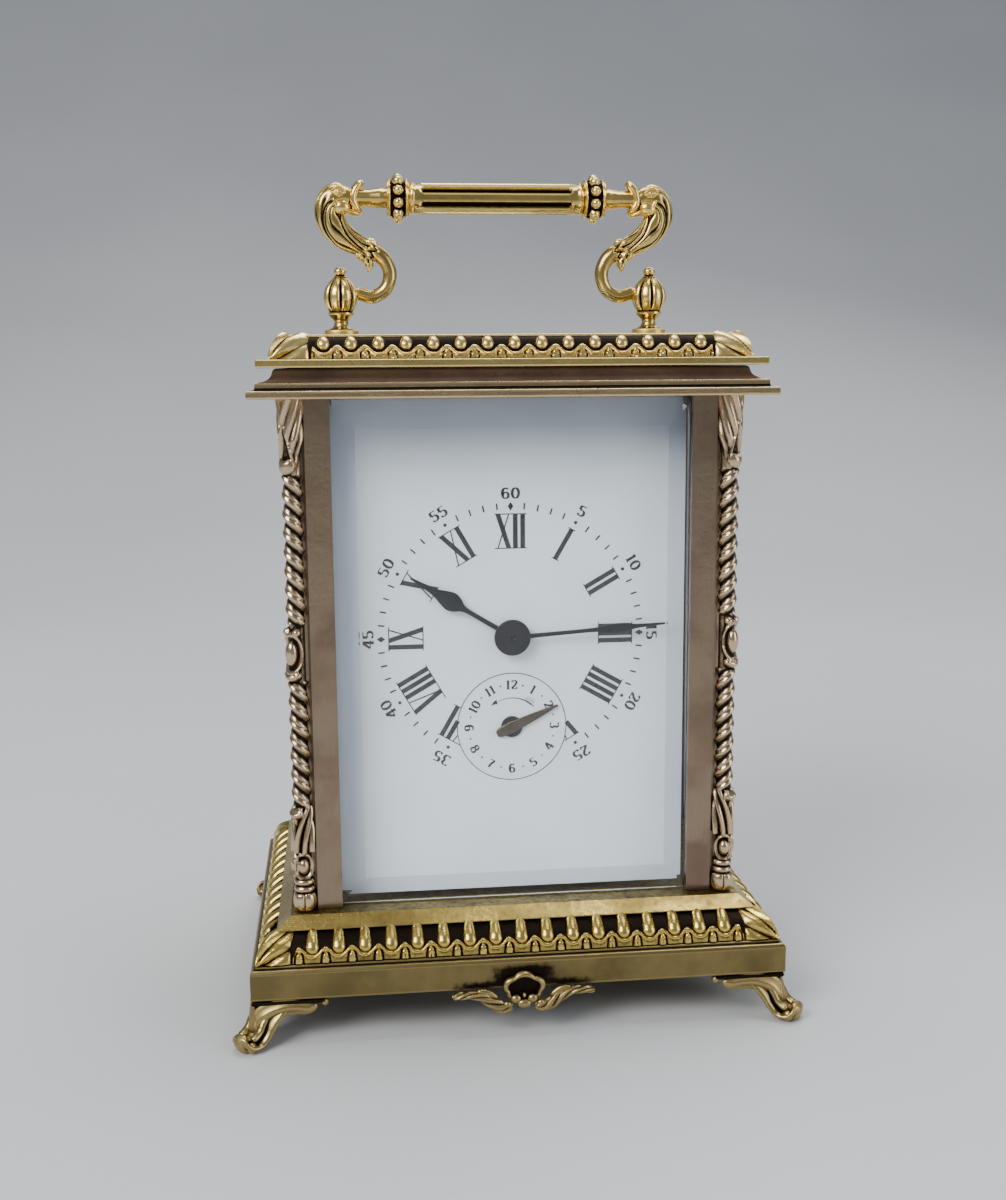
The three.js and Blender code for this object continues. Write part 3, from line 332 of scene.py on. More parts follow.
def flat_ring(outer, inner, z, up, patina=0.0):
    """A flat face at height z between two rectangles, each (x0, x1, y0, y1)."""
    def corners(r):
        return [(x, y, z, patina) for x, y in ((r[0], r[2]), (r[1], r[2]), (r[1], r[3]), (r[0], r[3]))]

    faces = [[i, (i + 1) % 4, 4 + (i + 1) % 4, 4 + i] for i in range(4)]
    return np.array(corners(outer) + corners(inner), float), faces if up else [f[::-1] for f in faces]


def wall(rectangle, low, high, inward=True):
    """The four upright faces round a rectangle, facing in or out."""
    x0, x1, y0, y1 = rectangle
    ring = [(x0, y0), (x1, y0), (x1, y1), (x0, y1)]
    points = np.array([[*p, low] for p in ring] + [[*p, high] for p in ring], float)
    faces = [[i, (i + 1) % 4, 4 + (i + 1) % 4, 4 + i] for i in range(4)]
    return points, [f[::-1] for f in faces] if inward else faces


def ball(centre, radii, turn=0.0, rings=12, sides=18):
    """An egg-shaped bead with half sizes (x, y, z), turned about Z."""
    t = np.linspace(0, math.pi, rings)[:, None]
    a = np.arange(sides) * TAU / sides
    x = radii[0] * np.sin(t) * np.cos(a)
    y = radii[1] * np.sin(t) * np.sin(a)
    z = np.broadcast_to(radii[2] * np.cos(t), x.shape)
    c, s = math.cos(turn), math.sin(turn)
    points = np.stack([x * c - y * s, x * s + y * c, z], -1) + np.asarray(centre, float)
    return grid(points, closed=True, caps=True, flip=True)


def mirrored(shape, axis):
    """The same shape on the other side of the frame's middle plane."""
    points, faces = shape
    points = np.array(points)
    points[:, axis] *= -1
    return points, [f[::-1] for f in faces]


def at_corner(shape, side_x, side_y):
    """A shape made for the corner at +X +Y, mirrored over to another corner."""
    if side_x < 0:
        shape = mirrored(shape, 0)
    return mirrored(shape, 1) if side_y < 0 else shape


# ---------------------------------------------------------------- materials

class Nodes:
    """A new material and the few node forms that the materials here share.

    feed sets a socket from a value or links it. spread maps a range smoothly onto another. sum does one step
    of arithmetic. set gives the shader its inputs by name and hands back the material.
    """

    def __init__(self, name):
        self.material = bpy.data.materials.new(name)
        self.material.use_nodes = True
        self.tree = self.material.node_tree
        self.shader = self.tree.nodes["Principled BSDF"]
        self.at = self.new("ShaderNodeTexCoord").outputs["Object"]

    def new(self, kind, **settings):
        node = self.tree.nodes.new(kind)
        for key, value in settings.items():
            setattr(node, key, value)
        return node

    def link(self, source, target):
        self.tree.links.new(source, target)

    def feed(self, target, value):
        if isinstance(value, bpy.types.NodeSocket):
            self.link(value, target)
        else:
            target.default_value = value

    def noise(self, scale, detail=4.0, stretch=(1, 1, 1), rough=0.5):
        mapping = self.new("ShaderNodeMapping")
        mapping.inputs["Scale"].default_value = stretch
        self.link(self.at, mapping.inputs["Vector"])
        node = self.new("ShaderNodeTexNoise")
        node.inputs["Scale"].default_value = scale
        node.inputs["Detail"].default_value = detail
        node.inputs["Roughness"].default_value = rough
        self.link(mapping.outputs[0], node.inputs["Vector"])
        return node.outputs["Fac"]

    def attribute(self, name):
        return self.new("ShaderNodeAttribute", attribute_name=name).outputs["Fac"]

    def spread(self, value, low, high, out_low=0.0, out_high=1.0):
        node = self.new("ShaderNodeMapRange", interpolation_type="SMOOTHSTEP")
        ends = {"From Min": low, "From Max": high, "To Min": out_low, "To Max": out_high}
        for key, number in ends.items():
            node.inputs[key].default_value = number
        self.link(value, node.inputs["Value"])
        return node.outputs["Result"]

    def sum(self, operation, a, b):
        node = self.new("ShaderNodeMath", operation=operation, use_clamp=operation == "ADD")
        self.feed(node.inputs[0], a)
        self.feed(node.inputs[1], b)
        return node.outputs[0]

    def mix(self, share, a, b):
        node = self.new("ShaderNodeMix", data_type="RGBA")
        self.feed(node.inputs["Factor"], share)
        self.feed(node.inputs["A"], a if isinstance(a, bpy.types.NodeSocket) else (*a, 1))
        self.feed(node.inputs["B"], b if isinstance(b, bpy.types.NodeSocket) else (*b, 1))
        return node.outputs["Result"]

    def bump(self, height, distance, strength=1.0):
        node = self.new("ShaderNodeBump")
        node.inputs["Distance"].default_value = distance
        node.inputs["Strength"].default_value = strength
        self.link(height, node.inputs["Height"])
        self.link(node.outputs[0], self.shader.inputs["Normal"])

    def set(self, **values):
        for key, value in values.items():
            socket = self.shader.inputs[key.replace("_", " ")]
            self.feed(socket, (*value, 1) if isinstance(value, tuple) else value)
        return self.material


def old_brass(name, bright, deep, stain, rough=(0.24, 0.46), grain=(1, 1, 1), metal=1.0):
    """Cast brass with a dark patina in its hollows, rubbed bright on its ridges, and painted shade where a
    piece sets it.
    """
    n = Nodes(name)
    cloud = n.noise(90, 5)
    speck = n.noise(900, 3)
    streak = n.noise(420, 3, stretch=grain)
    colour = n.mix(n.spread(cloud, 0.38, 0.68), bright, deep)
    colour = n.mix(n.spread(streak, 0.35, 0.8, 0, 0.4), colour, deep)
    colour = n.mix(n.spread(n.noise(45, 6, rough=0.65), 0.55, 0.72, 0, 0.6), colour, stain)
    hollow = n.sum("ADD", n.attribute("hollow"), n.spread(speck, 0.3, 0.9, -0.1, 0.16))
    # Darkens with the hollow attribute: patina, and painted shade where a piece put it there.
    colour = n.mix(n.spread(hollow, 0.12, 0.62), colour, (0.016, 0.011, 0.008))
    worn = n.spread(n.attribute("ridge"), 0.15, 0.7, 0, 0.75)
    colour = n.mix(worn, colour, tuple(min(1.0, c * 1.5) for c in bright))
    dull = n.spread(n.sum("ADD", hollow, n.spread(cloud, 0.3, 0.8, 0, 0.35)), 0, 0.9, *rough)
    n.bump(n.sum("ADD", n.spread(speck, 0.2, 0.9), streak), 0.00006, 0.5)
    return n.set(Base_Color=colour, Roughness=dull, Metallic=metal)


def fine_metal(name, bright, deep, rough=(0.16, 0.3), grain=(1, 40, 1)):
    """Machined metal with a brushed grain and faint tarnish."""
    n = Nodes(name)
    streak = n.noise(300, 3, stretch=grain)
    cloud = n.noise(130, 4)
    colour = n.mix(n.spread(cloud, 0.4, 0.75), bright, deep)
    colour = n.mix(n.spread(streak, 0.4, 0.8, 0, 0.35), colour, deep)
    n.bump(streak, 0.00003, 0.5)
    return n.set(Base_Color=colour, Roughness=n.spread(streak, 0.3, 0.75, *rough), Metallic=1.0)


def enamel_material():
    """White enamel, cool, fired a little unevenly."""
    n = Nodes("white_enamel")
    colour = n.mix(n.spread(n.noise(60, 4), 0.35, 0.75), (0.74, 0.785, 0.87), (0.69, 0.74, 0.83))
    colour = n.mix(n.spread(n.noise(700, 2), 0.72, 0.82, 0, 0.35), colour, (0.5, 0.5, 0.5))
    n.bump(n.noise(120, 2), 0.00004, 0.35)
    rough = n.spread(n.noise(200, 3), 0.3, 0.8, 0.1, 0.2)
    return n.set(Base_Color=colour, Roughness=rough, Specular_IOR_Level=0.6, Coat_Weight=0.4)


def ink_material():
    """Black vitreous paint of the dial's figures, also the black of the painted shade in each screw's slot.
    """
    n = Nodes("dial_black")
    colour = n.mix(n.spread(n.noise(800, 2), 0.35, 0.7), (0.003, 0.003, 0.005), (0.012, 0.012, 0.017))
    n.bump(n.noise(1500, 2), 0.00001, 0.4)
    return n.set(Base_Color=colour, Roughness=n.spread(n.noise(900, 2), 0.3, 0.7, 0.25, 0.4))


def glass_material():
    """Clear bevelled glass. Lamps shine through it unbent. Its bevel facets are coloured darker and bluish
    as painted shade.
    """
    n = Nodes("bevelled_glass")
    tint_and_bevel_shade = n.mix(n.spread(n.noise(25, 2), 0.3, 0.7), (0.97, 0.985, 0.98), (0.94, 0.97, 0.965))
    # Faces that lie slanted, the bevels, get a darker bluish colour: painted shade standing in for what the
    # bevels reflect and bend.
    facing = n.new("ShaderNodeVectorMath", operation="ABSOLUTE")
    n.link(n.new("ShaderNodeTexCoord").outputs["Normal"], facing.inputs[0])
    parts = n.new("ShaderNodeSeparateXYZ")
    n.link(facing.outputs[0], parts.inputs[0])
    squarest = n.sum("MAXIMUM", n.sum("MAXIMUM", parts.outputs[0], parts.outputs[1]), parts.outputs[2])
    tint_and_bevel_shade = n.mix(n.spread(squarest, 0.985, 0.995, 1, 0), tint_and_bevel_shade, (0.57, 0.615, 0.69))
    n.set(Base_Color=tint_and_bevel_shade, Roughness=0.01, IOR=1.5, Transmission_Weight=1.0)
    n.bump(n.noise(40, 1), 0.00001, 0.25)
    clear = n.new("ShaderNodeBsdfTransparent")
    clear.inputs["Color"].default_value = (0.95, 0.97, 0.96, 1)
    mixer = n.new("ShaderNodeMixShader")
    n.link(n.new("ShaderNodeLightPath").outputs["Is Shadow Ray"], mixer.inputs[0])
    n.link(n.shader.outputs[0], mixer.inputs[1])
    n.link(clear.outputs[0], mixer.inputs[2])
    n.link(mixer.outputs[0], n.tree.nodes["Material Output"].inputs["Surface"])
    return n.material


def jewel_material():
    """Polished ruby of the pivot holes."""
    n = Nodes("ruby")
    colour = n.mix(n.noise(900, 2), (0.42, 0.01, 0.04), (0.25, 0.005, 0.02))
    return n.set(Base_Color=colour, Roughness=0.06, Coat_Weight=0.6, IOR=1.76)


GILT = old_brass("gilt_brass", (0.52, 0.385, 0.105), (0.34, 0.245, 0.07), (0.18, 0.13, 0.045))
LID_GILT = old_brass("lid_gilt", (0.66, 0.50, 0.19), (0.48, 0.355, 0.125), (0.26, 0.19, 0.075))
PLINTH_BRASS = old_brass(
    "plinth_brass", (0.215, 0.165, 0.065), (0.145, 0.11, 0.045), (0.11, 0.07, 0.035), (0.3, 0.5)
)
SLAB_BRASS = old_brass(
    "slab_brass", (0.47, 0.355, 0.19), (0.33, 0.245, 0.135), (0.22, 0.155, 0.09), grain=(1, 1, 14)
)
# Darker than the other brass: painted shade for the shadow the bracket feet stand in. The front ornament
# uses it as well.
FOOT_BRASS_PAINTED_SHADE = old_brass(
    "foot_brass_painted_shade", (0.28, 0.21, 0.085), (0.17, 0.125, 0.05), (0.08, 0.055, 0.03), (0.28, 0.5)
)
HANDLE_BRASS = old_brass(
    "handle_brass", (0.68, 0.49, 0.155), (0.47, 0.335, 0.11), (0.25, 0.175, 0.07), (0.2, 0.42)
)
BAR_BRASS = old_brass(
    "bar_brass", (0.285, 0.215, 0.145), (0.215, 0.155, 0.105), (0.165, 0.10, 0.08),
    (0.28, 0.46), (14, 14, 1),
)
COLUMN_BRASS = old_brass(
    "column_brass", (0.43, 0.325, 0.205), (0.26, 0.19, 0.115), (0.14, 0.10, 0.065), (0.2, 0.42)
)
COVE_BRASS = old_brass(
    "cove_brown", (0.20, 0.135, 0.10), (0.14, 0.09, 0.07), (0.09, 0.055, 0.045),
    (0.35, 0.55), (1, 1, 14), metal=0.35,
)
PLATE_BRASS = fine_metal("plate_brass", (0.72, 0.55, 0.27), (0.55, 0.40, 0.18), grain=(1, 1, 30))
WHEEL_BRASS = fine_metal("wheel_brass", (0.78, 0.60, 0.28), (0.58, 0.42, 0.18), grain=(12, 1, 12))
STEEL = fine_metal("bright_steel", (0.56, 0.57, 0.58), (0.40, 0.41, 0.42))
BLUED = fine_metal("blued_steel", (0.011, 0.011, 0.016), (0.006, 0.006, 0.009), (0.3, 0.46))
BRONZED = fine_metal("bronzed_hand", (0.10, 0.07, 0.044), (0.06, 0.042, 0.028), (0.3, 0.45))
BELL_METAL = fine_metal("bell_metal", (0.66, 0.60, 0.50), (0.48, 0.42, 0.33), grain=(1, 1, 25))
ENAMEL = enamel_material()
INK_AND_SLOT_SHADE = ink_material()
GLASS = glass_material()
RUBY = jewel_material()


# ---------------------------------------------------------------- case

base_low, base_high = node_box("base_plinth")
HALF_WIDTH = base_high[0]
LESS = base_high[0] - base_high[1]
PLINTH_BOTTOM, DECK_TOP = base_low[2], base_high[2]
PLINTH_TOP = PLINTH_BOTTOM + 6.4
OVOLO_TOP = DECK_TOP - 2.2
DECK_HALF = HALF_WIDTH - 8.3
# Patina values that make the deck top, the ceiling of the hollow under it and the deck's sloping edge evenly
# darker.
DECK_DARKENING, BEVEL_DARKENING = 0.36, 0.2
OPENING = 38
cornice_low, cornice_high = node_box("cornice")
lid_low, lid_high = node_box("lid")
pane_low, pane_high = node_box("glass_top")


# How many tongues or beads stand on a long and a short side, their pitch, and the reach of a corner leaf.
BASE_BORDER = ((17, 12), 5.41, 6.9)
LID_BORDER = ((15, 10), 5.39, 7.6)


def border_relief(border, low, tongue, rim):
    """The cast border round an ovolo: tongues or beads over a scalloped rim, with darts and corner leaves.

    tongue is (half width, bottom, top, rise). rim is (lowest z, arch height, half thickness, rise, darkening
    below it, which lightens when negative).
    """
    count, pitch, leaf_reach = border
    half_wide, foot, head, rise = tongue
    rim_z, arch, rim_thick, rim_rise, darkening = rim

    def relief(along, half, z, is_front):
        number = count[0] if is_front else count[1]
        shift = 0 if number % 2 else pitch / 2
        last = (number - 1) / 2 * pitch
        near = np.clip(np.round((along - shift) / pitch) * pitch + shift, -last, last)
        dx = along - near
        dz = z - np.clip(z, foot, head)
        swell = half_wide * (1.04 - 0.12 * ramp(z, foot, max(head - foot, 1)))
        from_tongue = np.sqrt((dx / swell) ** 2 + (dz / half_wide) ** 2)
        tongues = rise * dome(from_tongue**2)
        wave = np.abs(np.sin(math.pi * np.clip(dx / pitch, -0.5, 0.5)))
        line = rim_z + arch * wave**2.6
        ridge = rim_rise * dome(((z - line) / rim_thick) ** 2)
        gap = np.abs(pitch / 2 - np.abs(dx))
        dart_edge = 0.92 * dome(((z - low) / (arch + 0.75)) ** 2) - 0.1
        dart = rim_rise * ramp(gap, dart_edge, -0.2) * np.clip(gap / 0.1 + 0.6, 0, 1)
        outline = np.clip(1 - np.abs(gap - dart_edge - 0.14) / 0.2, 0, 1)
        beside = 0.8 * outline * (dart_edge > -0.05)
        below = np.maximum(rim_rise * 0.6 * (1 - beside), dart)
        step = ramp(z, line - rim_thick * 0.75, -0.12)
        lift = np.maximum(np.maximum(tongues, ridge), below * step)
        from_mitre = half - np.abs(along)
        across, up = from_mitre + 0.5, z - low + 0.9
        fan = math.pi / 2 - np.arctan2(up, across)
        length = np.hypot(across, up) / leaf_reach
        lobe = np.abs(np.cos(4.6 * fan)) ** 0.9
        leaf = rise * dome(length**5) * (0.05 + 0.95 * lobe)
        on_leaf = from_mitre < leaf_reach - 0.3
        lift = np.where(on_leaf, leaf, lift)
        patina = np.clip(1.0 + 0.6 * darkening - 4.2 * lift / rise, -0.5, 1)
        plain = (step > 0.5) & (dart < 0.1) & ~on_leaf
        return lift, np.where(plain, np.maximum(patina, darkening), patina)

    return relief


def base():
    """The hollow base: a plain plinth, a border of tongues, and the bevelled deck."""
    inner = HALF_WIDTH - 8
    ceiling = DECK_TOP - 3.4
    slot = (17, 27.5, -2.5, 3.5)
    hollow = (-inner, inner, -inner + LESS, inner - LESS)
    top = (-DECK_HALF, DECK_HALF, -DECK_HALF + LESS, DECK_HALF - LESS)
    sink = 0.85
    plinth = rounded(
        [
            [inner, PLINTH_BOTTOM], [HALF_WIDTH - 0.05, PLINTH_BOTTOM],
            [HALF_WIDTH - 0.05, PLINTH_TOP - 0.6], [HALF_WIDTH - 0.5, PLINTH_TOP - 0.05],
            [HALF_WIDTH - 1.15, PLINTH_TOP], [HALF_WIDTH - 1.2, PLINTH_TOP + 0.5],
            [HALF_WIDTH - 1.9, PLINTH_TOP + 0.6],
        ],
        0.4,
    )

    def ornament_shadow(along, half, z, is_front):
        """Painted shadow on the plinth behind the front ornament and along its lower edge near the sprays,
        and the plinth a little darker towards its bottom all round.
        """
        behind = np.exp(-((along / 6.5) ** 4)) * ramp(z, PLINTH_TOP - 0.7, -1.8)
        below = np.exp(-((along / 14.5) ** 6)) * ramp(z, PLINTH_BOTTOM + 2.4, -1.6)
        darkening = np.maximum(behind, below) * is_front
        return 0 * along, np.maximum(0.85 * darkening, 0.12 * ramp(z, PLINTH_BOTTOM + 2, -2))

    ovolo = [
        [HALF_WIDTH - 1.2 - sink, PLINTH_TOP + 0.7], [HALF_WIDTH - 1.5 - sink, PLINTH_TOP + 2.2],
        [HALF_WIDTH - 2.8 - sink, PLINTH_TOP + 4.2], [HALF_WIDTH - 5.9 - sink, OVOLO_TOP - 0.1],
    ]
    deck = rounded(
        [
            [HALF_WIDTH - 6.6, OVOLO_TOP - 0.25], [HALF_WIDTH - 5.75, OVOLO_TOP - 0.25],
            [HALF_WIDTH - 5.4, OVOLO_TOP], [HALF_WIDTH - 5.8, OVOLO_TOP + 0.3],
            [DECK_HALF + 0.2, DECK_TOP - 0.15], [DECK_HALF, DECK_TOP], [DECK_HALF - 0.01, DECK_TOP],
        ],
        0.25,
    )
    deck[4:, 2] = np.maximum(deck[4:, 2], BEVEL_DARKENING)
    low = PLINTH_TOP + 0.7
    tongue = (1.36, low + 2.8, OVOLO_TOP - 1.2, 1.0)
    rim = (low + 1.05, 1.4, 0.48, 0.8, 0.27)
    relief = border_relief(BASE_BORDER, low, tongue, rim)
    smooth = with_zero(spread_out(spaced(ovolo, 12), 0.16))
    upper = together(
        moulding(smooth, LESS, 0.17, relief),
        moulding(deck, LESS),
        flat_ring(top, slot, DECK_TOP, True, DECK_DARKENING),
        flat_ring(hollow, slot, ceiling, False, DECK_DARKENING),
        wall(slot, ceiling, DECK_TOP),
        wall(hollow, PLINTH_BOTTOM, ceiling),
    )
    lower = moulding(spread_out(plinth, 0.8), LESS, 2.0, ornament_shadow)
    # Only the front half keeps the ornament's painted shadow; on the back half the darkening is capped at
    # 0.1.
    lower[0][:, 3] = np.where(lower[0][:, 1] < 0, lower[0][:, 3], np.minimum(lower[0][:, 3], 0.1))
    return lower, upper


def cornice():
    """The slab and step over the posts, and the dark cove above them."""
    slab, step = cornice_high[0], cornice_high[0] - 1.6
    low, top = cornice_low[2], cornice_high[2]
    profile = rounded(
        [
            [OPENING, low], [slab, low], [slab, low + 1.6], [step, low + 1.75], [step - 0.1, low + 3.2],
            [slab - 3.1, low + 3.25],
        ],
        0.35,
    )
    cove = rounded(
        [[slab - 3.1, low + 3.25], [slab - 4.7, low + 4.2], [slab - 5.1, top], [OPENING, top]], 0.8, 5
    )
    cove[:, 2] *= 0.2
    inside = wall((-OPENING, OPENING, -OPENING + LESS, OPENING - LESS), low, top)
    return together(moulding(profile, LESS), inside), moulding(cove, LESS)


def lid():
    """The top casting: a thin plate, a border of beads, and a flat top with a window."""
    low, top = lid_low[2], lid_high[2]
    plate = lid_high[0]
    edge = low + 1.6
    sink = 0.75
    ledge = (pane_low[0] - 0.3, pane_high[0] + 0.3, pane_low[1] - 0.3, pane_high[1] + 0.3)
    window = tuple(v - math.copysign(1.5, v) for v in ledge)
    under = (-OPENING, OPENING, -OPENING + LESS, OPENING - LESS)
    first = rounded(
        [[OPENING, low], [plate, low], [plate, edge - 0.1], [plate - 0.3, edge], [plate - 3.4, edge + 0.05]],
        0.25,
    )
    border = [
        [plate - 2.5 - sink, edge + 0.05], [plate - 2.8 - sink, edge + 2.0],
        [plate - 3.8 - sink, edge + 3.7], [plate - 5.4 - sink * 0.4, top - 0.12],
    ]
    last = rounded(
        [
            [plate - 5.9, top - 0.55], [plate - 5.15, top - 0.5], [plate - 5.2, top - 0.05],
            [plate - 5.6, top], [plate - 6.2, top],
        ],
        0.2,
    )
    outer = plate - 6.2
    bead = (1.2, edge + 2.9, edge + 3.1, 0.95)
    rim = (edge + 0.85, 1.3, 0.48, 0.85, -0.5)
    relief = border_relief(LID_BORDER, edge, bead, rim)
    smooth = with_zero(spread_out(spaced(border, 12), 0.16))
    ledge_z = top - 2.2
    return together(
        moulding(first, LESS),
        moulding(smooth, LESS, 0.17, relief),
        moulding(last, LESS),
        flat_ring((-outer, outer, -outer + LESS, outer - LESS), window, top, True),
        wall(window, ledge_z, top),
        flat_ring(ledge, window, ledge_z, False),
        wall(ledge, low + 2.4, ledge_z),
        flat_ring(under, ledge, low + 2.4, False),
        wall(under, low, low + 2.4),
    )


def column_shape():
    """The cast column at +X +Y: claw foot, leaf, rope, oval boss, rope, and a hanging acanthus leaf.

    The angle is 0 on the outer diagonal.
    """
    low, high = node_box("column_back_right")
    centre = (low + high) / 2
    rows, sides = 420, 72
    toe_top, collar_top, volute_top, leaf_top = 4.0, 7.1, 12.9, 22.6
    boss_low, boss_high, capital_low = 49, 61, 91
    z = np.linspace(0, high[2] - low[2], rows)[:, None]
    a = np.arange(sides)[None, :] * TAU / sides
    a = np.where(a > math.pi, a - TAU, a)

    def bead(at, tall, angle, wide, height):
        return height * dome(((z - at) / tall) ** 2 + ((a - angle) / wide) ** 2)

    def ring(at, tall, angle, wide, thick):
        away = np.sqrt(((z - at) / tall) ** 2 + ((a - angle) / wide) ** 2) - 1
        return hump(away, 0, thick)

    def between(low, high):
        return (z >= low) & (z < high)

    rope_pitch = 3.85
    turn = (a / math.pi + z / rope_pitch) % 1
    strand = hump(turn, 0.42, 0.2) + 0.55 * hump(turn, 0.76, 0.12)
    floor, r = 1.4 + 0 * a, 1.4 + 0.75 * np.clip(strand, 0, 1)
    toe = np.abs(np.cos(2 * a)) ** 0.4
    r = np.where(z < toe_top, 1.5 + (0.55 + 0.6 * toe) * np.sin(np.clip(z / 4.4, 0, 1) * math.pi) ** 0.4, r)
    collar = np.abs(np.sin((z - toe_top) / 1.55 * math.pi)) ** 0.6
    r = np.where(between(toe_top, collar_top), 1.55 + 0.65 * collar, r)
    volute = 1.55 + 0.15 * np.cos(6 * a)
    for side in (-1, 1):
        middle = side * math.pi / 4
        volute = np.maximum(volute, 1.5 + bead(9.9, 1.75, middle, 0.62, 1.2))
        volute = np.maximum(volute, 1.55 + 0.85 * ring(9.9, 2.7, middle, 0.98, 0.16))
    r = np.where(between(collar_top, volute_top), volute, r)
    rise = (z - volute_top) / 9.5
    stem = 3.4 * (np.abs(a) - 1.5 * np.clip(rise, 0, 1) ** 1.8)
    blade = 1.42 + 1.05 * np.abs(np.cos(stem)) ** 1.3 * np.clip(1.25 - 0.45 * rise, 0, 1.2)
    lip = bead(21.4, 1.35, 0, 1.0, 1.5) - 0.7 * bead(22.2, 0.9, 0, 0.7, 1)
    r = np.where(between(volute_top, leaf_top), np.maximum(blade, 1.5 + lip), r)
    boss = np.maximum(1.5 + 0 * a * z, 1.5 + bead(55.0, 2.65, 0, 0.8, 1.3))
    boss = np.maximum(boss, 1.55 + 0.9 * ring(55.0, 4.0, 0, 1.35, 0.11))
    boss = np.maximum(boss, 1.5 + bead(50.2, 1.0, 0, 1.0, 1.3) - bead(51.3, 0.8, 0, 0.7, 0.7))
    for curl in (50.6, 59.4):
        boss = np.maximum(boss, 1.5 + bead(curl, 0.9, math.pi / 4, 0.5, 1.25))
        boss = np.maximum(boss, 1.5 + bead(curl, 0.9, -math.pi / 4, 0.5, 1.25))
    r = np.where(between(boss_low, boss_high), boss, r)
    fall = ramp(z, capital_low, 15.1)
    vein = np.abs(np.cos(3.4 * np.abs(a) - 0.55 * (z - capital_low))) ** 0.8
    acanthus = 1.62 + (0.75 * vein + 0.45 * fall) * np.clip((z - 94) / 4, 0.25, 1)
    reach = 0.95 * np.clip((101.5 - z) / 7.5, 0.1, 1)
    cup = ramp(np.abs(a), reach, -0.12) * (z > 93) * (z < 101.5)
    acanthus = acanthus * (1 - cup) + 1.5 * cup
    rim = 0.95 * hump(np.abs(a), reach, 0.17) * (z > 92) * (z < 101.5)
    lip = bead(93.0, 1.9, 0, 1.4, 1.15) - 0.9 * bead(95.2, 1.6, 0, 0.8, 1)
    acanthus = np.maximum(acanthus, 1.5 + np.maximum(rim, lip))
    r = np.where(z >= capital_low, acanthus, r)
    r = np.clip(r, 0.8, 3.05)
    patina = np.clip(0.62 - (r - floor) * 1.4, -0.6, 1)
    diagonal = a + math.pi / 4
    x, y = centre[0] + r * np.cos(diagonal), centre[1] + r * np.sin(diagonal)
    points = np.stack([x, y, np.broadcast_to(z + low[2], r.shape)], -1)
    return grid(with_patina(points, patina), closed=True, caps=True)


def foot_shape():
    """The cast bracket foot at +X +Y: a diagonal leg with a clawed toe, and a leafy wing along each side."""
    corner = np.array([HALF_WIDTH, HALF_WIDTH - LESS, 0.0])
    out = np.array([1, 1, 0]) / math.sqrt(2)
    sideways = np.array([-1, 1, 0]) / math.sqrt(2)
    up = np.array([0, 0, 1.0])

    def place(rows):
        rows = np.asarray(rows, float)
        return corner + rows[:, :1] * out + rows[:, 1:2] * sideways + rows[:, 2:3] * up

    leg_line = spaced(
        [
            [-9.0, 0, 9.4, 5.2, 0.9], [-6.0, 0, 8.0, 4.9, 1.5], [-3.6, 0, 5.4, 4.1, 1.75],
            [-1.9, 0, 2.9, 3.5, 1.6], [-0.2, 0, 1.5, 3.2, 1.4], [1.6, 0, 1.45, 3.0, 1.35],
            [2.7, 0, 2.3, 2.5, 1.1], [2.9, 0, 3.3, 1.9, 0.7], [2.3, 0, 3.9, 1.2, 0.4],
        ],
        60,
    )

    def flutes(along, angle):
        wave = np.cos(4 * angle)
        here = np.sin(math.pi * np.clip(along * 1.15, 0, 1)) ** 0.5
        return 0.3 * wave * here, np.clip(-0.9 * wave * here, 0, 1)

    parts = [loft(place(leg_line[:, :3]), leg_line[:, 3], leg_line[:, 4], sideways, 56, flutes)]
    rib_line = spaced(
        [[-6.4, 0, 9.4], [-3.6, 0, 8.0], [-1.6, 0, 5.8], [-0.7, 0, 4.4], [0.7, 0, 3.5], [1.6, 0, 3.7]], 30
    )
    for x, wide in ((-1.75, 0.95), (1.75, 0.95)):
        parts.append(loft(place(rib_line + [0, x, -0.2 * abs(x)]), wide, 0.7, sideways, 14, tip=True))
    for x in (-2.1, -0.7, 0.7, 2.1):
        at = corner + (2.4 - 0.16 * x * x) * out + x * sideways + 1.5 * up
        parts.append(ball(at, (1.15, 0.75, 1.15), math.pi / 4))
    wing = spaced(
        [
            [0.2, 3.0, 1.2, 1.1], [-1.2, 5.0, 1.6, 1.1], [-3.2, 7.0, 2.1, 1.0], [-6.2, 8.2, 1.8, 0.9],
            [-9.2, 8.3, 1.5, 0.75], [-11.6, 7.9, 1.3, 0.7], [-13.6, 8.3, 0.8, 0.55],
        ],
        40,
    )
    for along, across in (((1, 0, 0), (0, 1, 0)), ((0, 1, 0), (1, 0, 0))):
        along, across = np.array(along, float), np.array(across, float)
        path = corner + wing[:, :1] * along - 0.75 * across + wing[:, 1:2] * up
        parts.append(loft(path, wing[:, 3], wing[:, 2], across, 20, flutes, tip=True))
        path = corner + np.linspace(-15.0, -0.4, 12)[:, None] * along - 0.9 * across + 9.35 * up
        parts.append(loft(path, 0.8, 0.5, across, 12))
        parts.append(ball(corner - 15.0 * along - 0.9 * across + 9.0 * up, (0.85, 0.85, 0.8)))
    points, faces = together(*parts)
    across = np.abs((points[:, :3] - corner) @ sideways)
    reach = (points[:, :3] - corner) @ out
    # The groove between the ribs holds patina; the top of the bracket, just under the plinth, is darkened as
    # painted shade.
    groove = ramp(across, 0.95, -0.3) * ramp(points[:, 2], 2.2, 0.6) * (reach > -6)
    under = ramp(points[:, 2], PLINTH_BOTTOM - 1.3, 0.7)
    points[:, 3] = np.maximum(points[:, 3], 0.85 * np.maximum(groove, under))
    points[:, 2] = np.clip(points[:, 2], 0.0, PLINTH_BOTTOM - 0.05)
    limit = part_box("foot_back_right")[1]
    points[:, 0] = np.minimum(points[:, 0], limit[0] / MM)
    points[:, 1] = np.minimum(points[:, 1], limit[1] / MM)
    return points, faces


